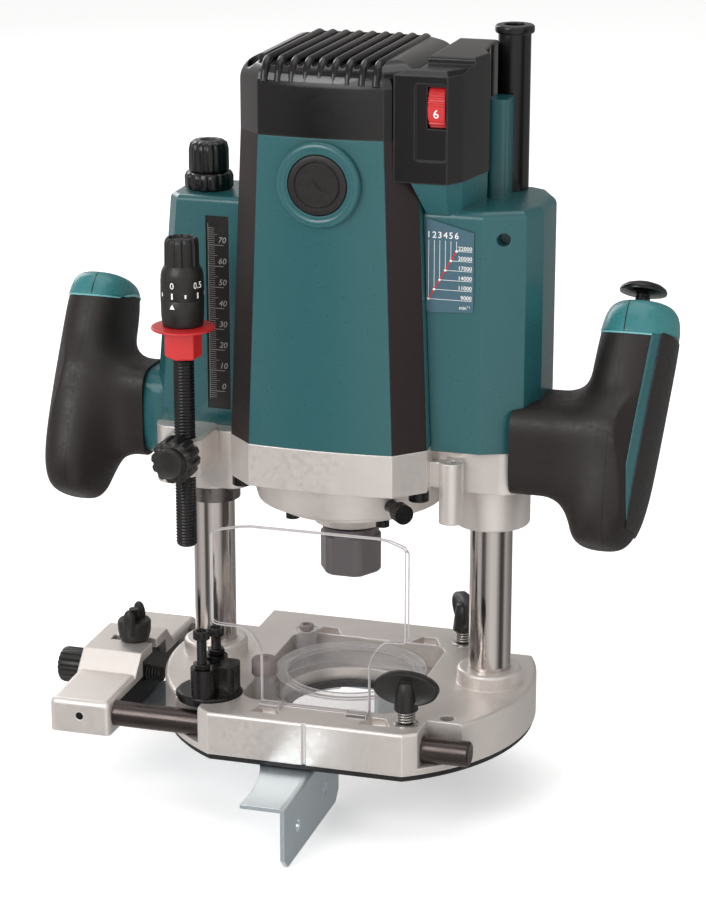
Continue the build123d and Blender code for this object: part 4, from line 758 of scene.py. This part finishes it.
bm = bmesh.new()
for number in range(10):
    angle = FLAG_TURN + TURN * number / 10
    tall = number % 2 == 0
    bar(bm, on_barrel(angle, 9.98, 216.6), 0, 0, 0.85, 2.8 if tall else 1.7)
    if tall:
        letters(bm, "0" if number % 4 == 0 else "0.5", 4.2, on_barrel(angle, 9.95, 221.2))
prism(bm, on_barrel(FLAG_TURN, 9.92, 211.6), [(-1.3, -1.0), (1.3, -1.0), (0, 1.3)], 0, 0.08)
piece("depth_knob_marks", bm, PRINT, "depth_knob", sharp=30)

low, high, middle = extent("depth_clamp_knob")
bm = bmesh.new()
front = facing(middle.x, high.y, middle.z, FRONT)
reach = high.y - low.y
turned(bm, front, [(5.0, 0), (8.6, 0.2), (9.9, 1.6), (10.5, 3.4), (10.5, reach - 6.2), (9.8, reach - 4.4),
                   (8.2, reach - 3.6)], 144, flutes(12, 0.11, 0.55))
turned(bm, front, [(7.6, reach - 6), (7.4, reach - 2.4), (7.1, reach - 0.7), (6.3, reach),
                   (5.9, reach - 0.25), (1.0, reach - 0.3)], 64)
piece("depth_clamp_rosette", bm, BLACK_NYLON, "depth_clamp", "depth_clamp_knob", sharp=42)

# ---- height limit nuts ----
low, high, middle = extent("height_limit_nut")
bm = bmesh.new()
turned(bm, standing(middle.x, middle.y),
       [(10.6, low.z), (11.3, low.z + 0.8), (11.4, high.z - 2.6), (10.7, high.z - 0.8), (9.2, high.z),
        (4.2, high.z)], 120, flutes(14, 0.06, 0.4))
piece("height_limit_nut_body", bm, BLACK_GLOSS, "limit_nut", "height_limit_nut", sharp=40)
low, high, middle = extent("height_lock_nut")
bm = bmesh.new()
turned(bm, standing(middle.x, middle.y),
       [(9.0, low.z), (9.4, low.z + 0.6), (9.3, high.z - 4.2), (8.6, high.z - 1.4), (7.0, high.z - 0.2),
        (4.0, high.z), (3.6, high.z - 0.9), (0.5, high.z - 0.9)], 120, flutes(12, 0.08, 0.45))
piece("height_lock_nut_body", bm, BLACK_GLOSS, "limit_lock_nut", "height_lock_nut", sharp=40)

# ---- wing bolts, their springs and seats ----
springs = bmesh.new()
seats = bmesh.new()
for node, body, way in (("wing_bolt_front", "front_wing_bolt", FRONT),
                        ("wing_bolt_rear", "rear_wing_bolt", (-0.9, -0.5, 0))):
    low, high, middle = extent(node)
    spot = standing(middle.x, middle.y)
    wing_z = high.z - 8.0
    bm = bmesh.new()
    threaded(bm, spot, 3.0, low.z, wing_z - 9.5, 1.0, 0.4, 24)
    turned(bm, spot, [(5.4, wing_z - 10.4), (5.6, wing_z - 9.9), (4.7, wing_z - 2), (3.9, wing_z + 2.6),
                      (3.1, wing_z + 3.4), (1.0, wing_z + 3.6)], 48)
    face = facing(middle.x, middle.y, wing_z, way)
    rings = []
    for wide, tall, depth in ((0.2, 0.2, -1.3), (0.78, 0.703, -1.5), (0.86, 0.811, -2.3), (0.94, 0.919, -2.6),
                              (1.0, 1.0, -1.8), (1.0, 1.0, 1.8), (0.94, 0.919, 2.6), (0.86, 0.811, 2.3),
                              (0.78, 0.703, 1.5), (0.2, 0.2, 1.3)):
        rings.append(oval(face, 15.3 * wide, 8.0 * tall, depth, 72))
    skin(bm, rings)
    piece(node + "_body", bm, BLACK_NYLON, body, node, sharp=45)
    coil(springs, spot, 3.9, 0.5, 24.2, 30.6, 4.2)
    tube(seats, spot, [(5.8, 23.4), (5.8, 24.0), (5.1, 24.4)], 3.4)
piece("wing_bolt_springs", springs, BRIGHT_STEEL, "base", "clamp_springs", sharp=60)
piece("wing_bolt_seats", seats, BRIGHT_STEEL, "base", sharp=40)

# ---- fence: wing nut, fine adjustment knob ----
low, high, middle = extent("fence_wing_nut")
bm = bmesh.new()
spot = standing(middle.x, middle.y)
tube(bm, spot, [(6.6, low.z), (7.0, low.z + 0.5), (8.0, low.z + 4.6), (8.2, low.z + 9.2),
                (7.6, low.z + 10.2), (6.2, low.z + 10.3)], 2.7)
for sign in (-1, 1):
    rings = []
    for height, wide, thick, shift in ((4.0, 3.0, 1.9, 6.6), (9.0, 3.3, 2.1, 6.9), (13.0, 3.0, 1.9, 6.9),
                                       (15.6, 2.2, 1.5, 6.8), (16.9, 1.1, 0.8, 6.7)):
        rings.append(oval(standing(middle.x, middle.y + sign * shift), wide, thick, low.z + height, 20))
    skin(bm, rings)
piece("fence_wing_nut_body", bm, BLACK_NYLON, "fence_wing_nut", "fence_wing_nut", sharp=50)

low, high, middle = extent("fine_adjust_screw")
bm = bmesh.new()
axis = facing(low.x, middle.y, middle.z, (1, 0, 0))
turned(bm, axis, [(6.4, 0.6), (7.2, 0.0), (8.3, 0.8), (8.8, 2.4), (8.8, 15.4), (8.2, 16.6), (4.0, 17.0)], 180,
       flutes(18, 0.09, 0.42))
turned(bm, axis, [(3.4, 16.5), (3.4, 25.0)], 32)
threaded(bm, axis, 4.2, 24.6, high.x - low.x, 1.5, 0.6)
piece("fine_screw_body", bm, BLACK_NYLON, "fine_screw", "fine_adjust_screw", sharp=38)

# ---- turret bolts ----
low, high, middle = extent("stop_bolts")
bm = bmesh.new()
for y, top in ((low.y + 3.7, high.z), (high.y - 3.7, high.z - 5.5)):
    spot = standing(middle.x, y)
    threaded(bm, spot, 2.5, low.z, top - 2.4, 0.8, 0.35, 20)
    turned(bm, spot, [(3.6, top - 4), (4.2, top - 3.4), (4.2, top - 0.8), (3.5, top), (2.6, top - 0.1),
                      (2.2, top - 1.2), (0.4, top - 1.2)], 72, flutes(6, 0.2, 0.6))
    prism(bm, spot, polygon(6, 4.3), 38.8, 41.6, 0.4)
piece("stop_bolt_set", bm, BLACK_STEEL, "turret", "stop_bolts", sharp=38, bevel=0.15)

# ---- dust nozzle thumbscrew ----
low, high, middle = extent("nozzle_screws")
bm = bmesh.new()
spot = standing(-33.0, -33.0)
turned(bm, spot, [(2.1, low.z), (2.1, high.z - 7.8)], 24)
turned(bm, spot, [(5.4, high.z - 8.0), (6.1, high.z - 7.6), (6.1, high.z - 1.0), (5.5, high.z - 0.2),
                  (2.2, high.z), (2.0, high.z - 0.8), (0.3, high.z - 0.8)], 160, flutes(40, 0.035, 0.5))
spot = standing(-31.5, 29.0)
turned(bm, spot, [(2.1, low.z), (2.1, low.z + 18.9), (3.5, low.z + 19.0), (3.6, low.z + 21.0),
                  (3.0, low.z + 21.5), (1.8, low.z + 21.5), (1.7, low.z + 20.4), (0.2, low.z + 20.4)], 36)
piece("nozzle_screw_set", bm, MAUVE, "base", "nozzle_screws", sharp=40)

# ---- depth scale and speed chart ----
low, high, middle = extent("scale_plates")
SCALE_X, SCALE_ZERO = -58.7, 161.3
SCALE_Y = -18.05                # front face of the depth scale
SCALE_LINE = -4.6               # the marks start at this upright line, beside SCALE_X
bm = bmesh.new()
bar(bm, facing(SCALE_X, SCALE_Y + 1.2, 0, FRONT), 0, 199, 11, 92, 1.2)
piece("depth_scale_plate", bm, BLACK_NYLON, "motor_unit", "scale_plates", sharp=30)
prints = bmesh.new()
plate = facing(SCALE_X, SCALE_Y - 0.02, 0, FRONT)
bar(prints, plate, SCALE_LINE, 199.5, 0.18, 84)
for mark in range(-3, 79):
    tall = mark % 10 == 0
    length = 7.4 if tall else (4.6 if mark % 5 == 0 else 3.2)
    bar(prints, plate, SCALE_LINE + length / 2, SCALE_ZERO + mark, length, 0.24 if tall else 0.16)
slant = Matrix(((1, 0.2, 0, 0), (0, 1, 0, 0), (0, 0, 1, 0), (0, 0, 0, 1)))
for mark in range(0, 80, 10):
    letters(prints, str(mark), 3.9, plate @ Matrix.Translation((2.3, SCALE_ZERO + mark + 2.3, 0.02)) @ slant)
# the scale's marks and numbers are darkened as painted shade
piece("depth_scale_print", prints, SHADED_PRINT, "motor_unit", sharp=30)

bm = bmesh.new()
corners = [(44.3, 253.4), (66.2, 247.8), (66.2, 212.6), (65.4, 211.4), (45.2, 210.4), (44.3, 211.4)]
prism(bm, facing(0, low.y - 0.02, 0, FRONT), corners, 0, 0.12)
piece("speed_chart_label", bm, LABEL, "motor_unit", sharp=30)

CHART_TOP, CHART_RIGHT = 243.6, 65.4    # ends of the chart's upright and level lines
chart = facing(0, low.y - 0.15, 0, FRONT)
bm = bmesh.new()
points = [(45.4, 216.6), (48.0, 221.1), (50.5, 225.6), (53.1, 230.1), (55.6, 234.6), (58.2, 239.1)]
speeds = ("9000", "11000", "14000", "17000", "20000", "22000")
for number, ((x, z), speed) in enumerate(zip(points, speeds), 1):
    letters(bm, str(number), 4.1, chart @ Matrix.Translation((x, CHART_TOP + 2.3, 0)))
    bar(bm, chart, x, (z + CHART_TOP) / 2, 0.2, CHART_TOP - z)
    bar(bm, chart, (x + CHART_RIGHT) / 2, z, CHART_RIGHT - x, 0.2)
    letters(bm, speed, 2.6, chart @ Matrix.Translation((CHART_RIGHT, z + 1.2, 0)), "RIGHT")
    prism(bm, chart @ Matrix.Translation((x, z, 0)), polygon(12, 0.6), 0, 0.05)
letters(bm, "min⁻¹", 2.3, chart @ Matrix.Translation((64.8, 213.3, 0)), "RIGHT")
piece("speed_chart_print", bm, PRINT, "motor_unit", sharp=30)

# a dashed curve through the six points
bm = bmesh.new()
for first, second in zip(points, points[1:]):
    for start, end in ((0.1, 0.42), (0.56, 0.88)):
        a = Vector(first).lerp(Vector(second), start)
        b = Vector(first).lerp(Vector(second), end)
        side = (b - a).orthogonal().normalized() * 0.45
        prism(bm, chart, [tuple(a + side), tuple(a - side), tuple(b - side), tuple(b + side)], 0, 0.05)
piece("speed_chart_curve", bm, RED, "motor_unit", sharp=30)


# ---- speed dial ----
def dial_rim(angle):
    """Stepped ridges between six smooth faces."""
    away = (math.degrees(angle) % 60) / 60
    return 1.0 if away < 0.45 else 0.95 + 0.05 * (int(away * 12) % 2)


low, high, middle = extent("speed_dial")
radius = (high.z - low.z) / 2
wide = high.x - low.x
bm = bmesh.new()
turned(bm, facing(low.x, middle.y, middle.z, (1, 0, 0)),
       [(1.9, 0), (radius - 0.5, 0), (radius, 0.5), (radius, wide - 0.5), (radius - 0.5, wide), (1.9, wide)],
       180, dial_rim)
piece("speed_dial_wheel", bm, RED, "speed_dial", "speed_dial", sharp=30)
bm = bmesh.new()
DIAL_NUMBER = math.radians(-168)        # turn of the face that shows in the window
way = Vector((0, math.cos(DIAL_NUMBER), math.sin(DIAL_NUMBER)))
letters(bm, "6", 5.6, facing(*(middle + way * (radius + 0.02)), way))
piece("speed_dial_number", bm, PRINT, "speed_dial", sharp=30)

# ---- brush caps ----
low, high, middle = extent("brush_caps")
CAP_SEAT, RING_SEAT = 44.2, 51.0        # distances of the caps' and rings' seats from the middle plane
SLOT_TURN = Matrix.Rotation(math.radians(-48), 4, "Z")
bm = bmesh.new()
for sign in (-1, 1):
    cap = facing(0, sign * CAP_SEAT, middle.z, (0, sign, 0))
    deep = (high.y if sign > 0 else -low.y) - CAP_SEAT
    turned(bm, cap, [(13.6, 0), (13.85, 0.3), (13.85, deep - 1.2), (13.2, deep - 0.3), (12.2, deep),
                     (10.7, deep), (10.4, deep - 0.6), (10.1, deep - 0.6), (9.8, deep - 0.1),
                     (0.5, deep - 0.1)], 96)
piece("brush_cap_set", bm, BLACK_NYLON, "motor_unit", "brush_caps", sharp=35)
# dark bars on the caps' ends: painted shade standing in for the slots' recess
bm = bmesh.new()
for sign in (-1, 1):
    cap = facing(0, low.y if sign < 0 else high.y, middle.z, (0, sign, 0))
    bar(bm, cap @ SLOT_TURN, 0, 0, 6.5, 1.2, 0.03)
piece("brush_cap_slot_shade", bm, SLOT_SHADE, "motor_unit", sharp=30)
bm = bmesh.new()
for sign in (-1, 1):
    seat = facing(0, sign * RING_SEAT, middle.z, (0, sign, 0))
    tube(bm, seat, [(19.4, -1.5), (19.4, 0.0), (18.9, 0.9), (18.0, 1.5), (17.0, 1.75), (16.0, 1.5),
                    (15.0, 0.8), (14.3, -0.2), (14.2, -1.5)], 14.1, 96)
piece("brush_cap_rings", bm, TEAL, "motor_unit", sharp=60)

# ---- return springs, drawn at one length; the real ones close up as the motor unit goes down ----
low, high, middle = extent("return_springs")
bm = bmesh.new()
for sign in (-1, 1):
    coil(bm, standing(sign * (high.x - 6.6), 0), 5.8, 0.75, low.z + 0.8, high.z - 0.8, 22)
springs = piece("return_spring_coils", bm, SPRING_STEEL, "base", "return_springs", sharp=60)
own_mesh(springs)

# ---- painted highlights: pale rods along the edges of the clear mouldings, for the light their edges catch ----
piece("chip_deflector_edges", edge_rods("chip_deflector", 0.34, 0.6), CLEAR_EDGE_HIGHLIGHT, "base", sharp=60)
piece("dust_nozzle_edges", edge_rods("dust_nozzle", 0.3, 0.7), CLEAR_EDGE_HIGHLIGHT, "base", sharp=60)

# ---- ribs between the slots of the cover ----
low, high, middle = extent("top_cover")
FIRST_RIB, RIB_PITCH = -25.8, 6.4
bm = bmesh.new()
for number in range(9):
    x = FIRST_RIB + RIB_PITCH * number
    rings = []
    for y, drop in ((-47.5, 9.5), (-46.6, 5.6), (-44.8, 2.4), (-42.6, 0.3), (-40.0, -0.45), (36.0, -0.45),
                    (38.6, 0.3), (40.8, 2.4), (42.6, 5.6)):
        tilt = math.copysign(min(1.0, max(0.0, (abs(y) - 40) / 7)), y)
        ring = []
        for i in range(12):
            angle = TURN * i / 12
            rise = 1.35 * math.sin(angle)
            ring.append(Vector((x + 1.7 * math.cos(angle), y + rise * tilt,
                                high.z - drop - 0.5 + rise * (1 - abs(tilt) * 0.4))))
        rings.append(ring)
    skin(bm, rings)
piece("cover_ribs", bm, BLACK_GLOSS, "motor_unit", sharp=60)


# ==== stage, light, camera ====
CAMERA_AZIMUTH, CAMERA_ELEVATION = 16.57, 17.32     # degrees
CAMERA_DISTANCE, CAMERA_LENS = 1.3328, 113.1        # metres from its target; mm on a 36 mm sensor
CAMERA_ASIDE, CAMERA_TARGET_Z = 0.00099, 0.13225
LAMP_TARGET = Vector((0.0, 0.0, 0.15))
FLOOR_HALF, FLOOR_GAP = 9.0, 0.0008
STUDIO_WHITE = (1.0, 0.995, 0.99, 1.0)


def studio_cards(shader, ray):
    """Brightness that a shiny part sees along a ray: pale and dark cards standing round the set."""
    axes = shader.axes(ray)
    turn = shader.math("ARCTAN2", axes[0], shader.math("MULTIPLY", axes[1], -1))
    turn = shader.math("ADD", shader.math("DIVIDE", turn, TURN), 0.5 - CAMERA_AZIMUTH / 360)
    ramp = shader.node("ShaderNodeValToRGB")
    shader.join(shader.math("FRACT", turn), ramp.inputs["Fac"])
    stops = ((0.0, 0.5), (0.06, 0.7), (0.19, 0.35), (0.28, 0.75), (0.335, 0.7), (0.36, 0.1), (0.4, 0.12),
             (0.43, 0.62), (0.5, 0.95), (0.57, 0.85), (0.61, 0.4), (0.645, 0.07), (0.69, 0.1), (0.73, 0.6),
             (0.82, 0.3), (0.9, 0.2), (0.96, 0.3))
    band = ramp.color_ramp
    while len(band.elements) < len(stops):
        band.elements.new(0.5)
    for element, (place, value) in zip(band.elements, stops):
        element.position = place
        element.color = (value, value * 0.975, value * 0.96, 1)
    return ramp.outputs["Color"]


def floor_paper():
    """White paper that glows a little, and that shiny parts see as studio cards."""
    shader = Shader(finish("floor_paper", srgb(250, 249, 249), 0.75, mottle=0.003, grain=8.0))
    paper = shader.surface
    paper.inputs["Emission Color"].default_value = (1, 1, 1, 1)
    paper.inputs["Emission Strength"].default_value = 0.42
    incoming = shader.node("ShaderNodeNewGeometry").outputs["Incoming"]
    ray = shader.vector("MULTIPLY", incoming, (-1, -1, -1))
    cards = shader.node("ShaderNodeEmission")
    shader.join(studio_cards(shader, ray), cards.inputs["Color"])
    whole = shader.mix(shader.ray("Is Glossy Ray"), paper.outputs[0], cards.outputs[0])
    shader.join(whole, shader.tree.nodes["Material Output"].inputs["Surface"])
    return shader.owner


def lay_floor():
    """Large pale floor just under the lowest part."""
    bm = bmesh.new()
    for x, y in ((-1, -1), (1, -1), (1, 1), (-1, 1)):
        bm.verts.new((x * FLOOR_HALF, y * FLOOR_HALF, cad_box[0].z - FLOOR_GAP))
    bm.faces.new(bm.verts)
    mesh = bpy.data.meshes.new("floor")
    bm.to_mesh(mesh)
    bm.free()
    mesh.materials.append(floor_paper())
    floor = bpy.data.objects.new("floor", mesh)
    bpy.context.scene.collection.objects.link(floor)


def light_world():
    """White backdrop for the camera, studio cards for shiny parts and even light for everything else."""
    world = bpy.data.worlds.new("studio")
    shader = Shader(world)
    plain = shader.tree.nodes["Background"]
    shiny = shader.node("ShaderNodeBackground")
    seen = shader.node("ShaderNodeBackground")
    plain.inputs["Color"].default_value = STUDIO_WHITE
    plain.inputs["Strength"].default_value = 0.5
    ray = shader.node("ShaderNodeTexCoord").outputs["Generated"]
    shader.join(studio_cards(shader, ray), shiny.inputs["Color"])
    seen.inputs["Color"].default_value = STUDIO_WHITE
    lit = shader.mix(shader.ray("Is Glossy Ray"), plain.outputs[0], shiny.outputs[0])
    backdrop = shader.mix(shader.ray("Is Camera Ray"), lit, seen.outputs[0])
    shader.join(backdrop, shader.tree.nodes["World Output"].inputs["Surface"])
    bpy.context.scene.world = world


def stand_lamps():
    """Soft rectangular lamps round the set: name, place, width, height and power."""
    lamps = (("key", (-0.8, -1.7, 1.2), 1.1, 1.1, 21.0), ("fill", (1.5, -0.7, 0.9), 0.8, 1.6, 3.5),
             ("top", (0.1, 0.2, 1.9), 1.6, 1.6, 10.0), ("rim", (-1.3, 1.2, 1.0), 0.6, 1.4, 8.0))
    for name, place, width, height, power in lamps:
        light = bpy.data.lights.new(name, "AREA")
        light.shape = "RECTANGLE"
        light.size, light.size_y, light.energy = width, height, power
        lamp = bpy.data.objects.new(name, light)
        lamp.location = place
        lamp.rotation_euler = (LAMP_TARGET - Vector(place)).to_track_quat("-Z", "Y").to_euler()
        bpy.context.scene.collection.objects.link(lamp)


def stand_camera():
    """Camera in front, a little to the right and above."""
    azimuth, elevation = math.radians(CAMERA_AZIMUTH), math.radians(CAMERA_ELEVATION)
    back = Vector((math.sin(azimuth) * math.cos(elevation), -math.cos(azimuth) * math.cos(elevation),
                   math.sin(elevation)))
    right = Vector((math.cos(azimuth), math.sin(azimuth), 0))
    target = right * CAMERA_ASIDE + Vector((0, 0, CAMERA_TARGET_Z))
    lens = bpy.data.cameras.new("camera")
    lens.lens, lens.sensor_width = CAMERA_LENS, 36.0
    lens.clip_start, lens.clip_end = 0.05, 20.0
    camera = bpy.data.objects.new("camera", lens)
    camera.location = target + back * CAMERA_DISTANCE
    camera.rotation_euler = (-back).to_track_quat("-Z", "Y").to_euler()
    bpy.context.scene.collection.objects.link(camera)
    bpy.context.scene.camera = camera


bpy.context.scene.view_settings.view_transform = "Standard"
lay_floor()
light_world()
stand_lamps()
stand_camera()
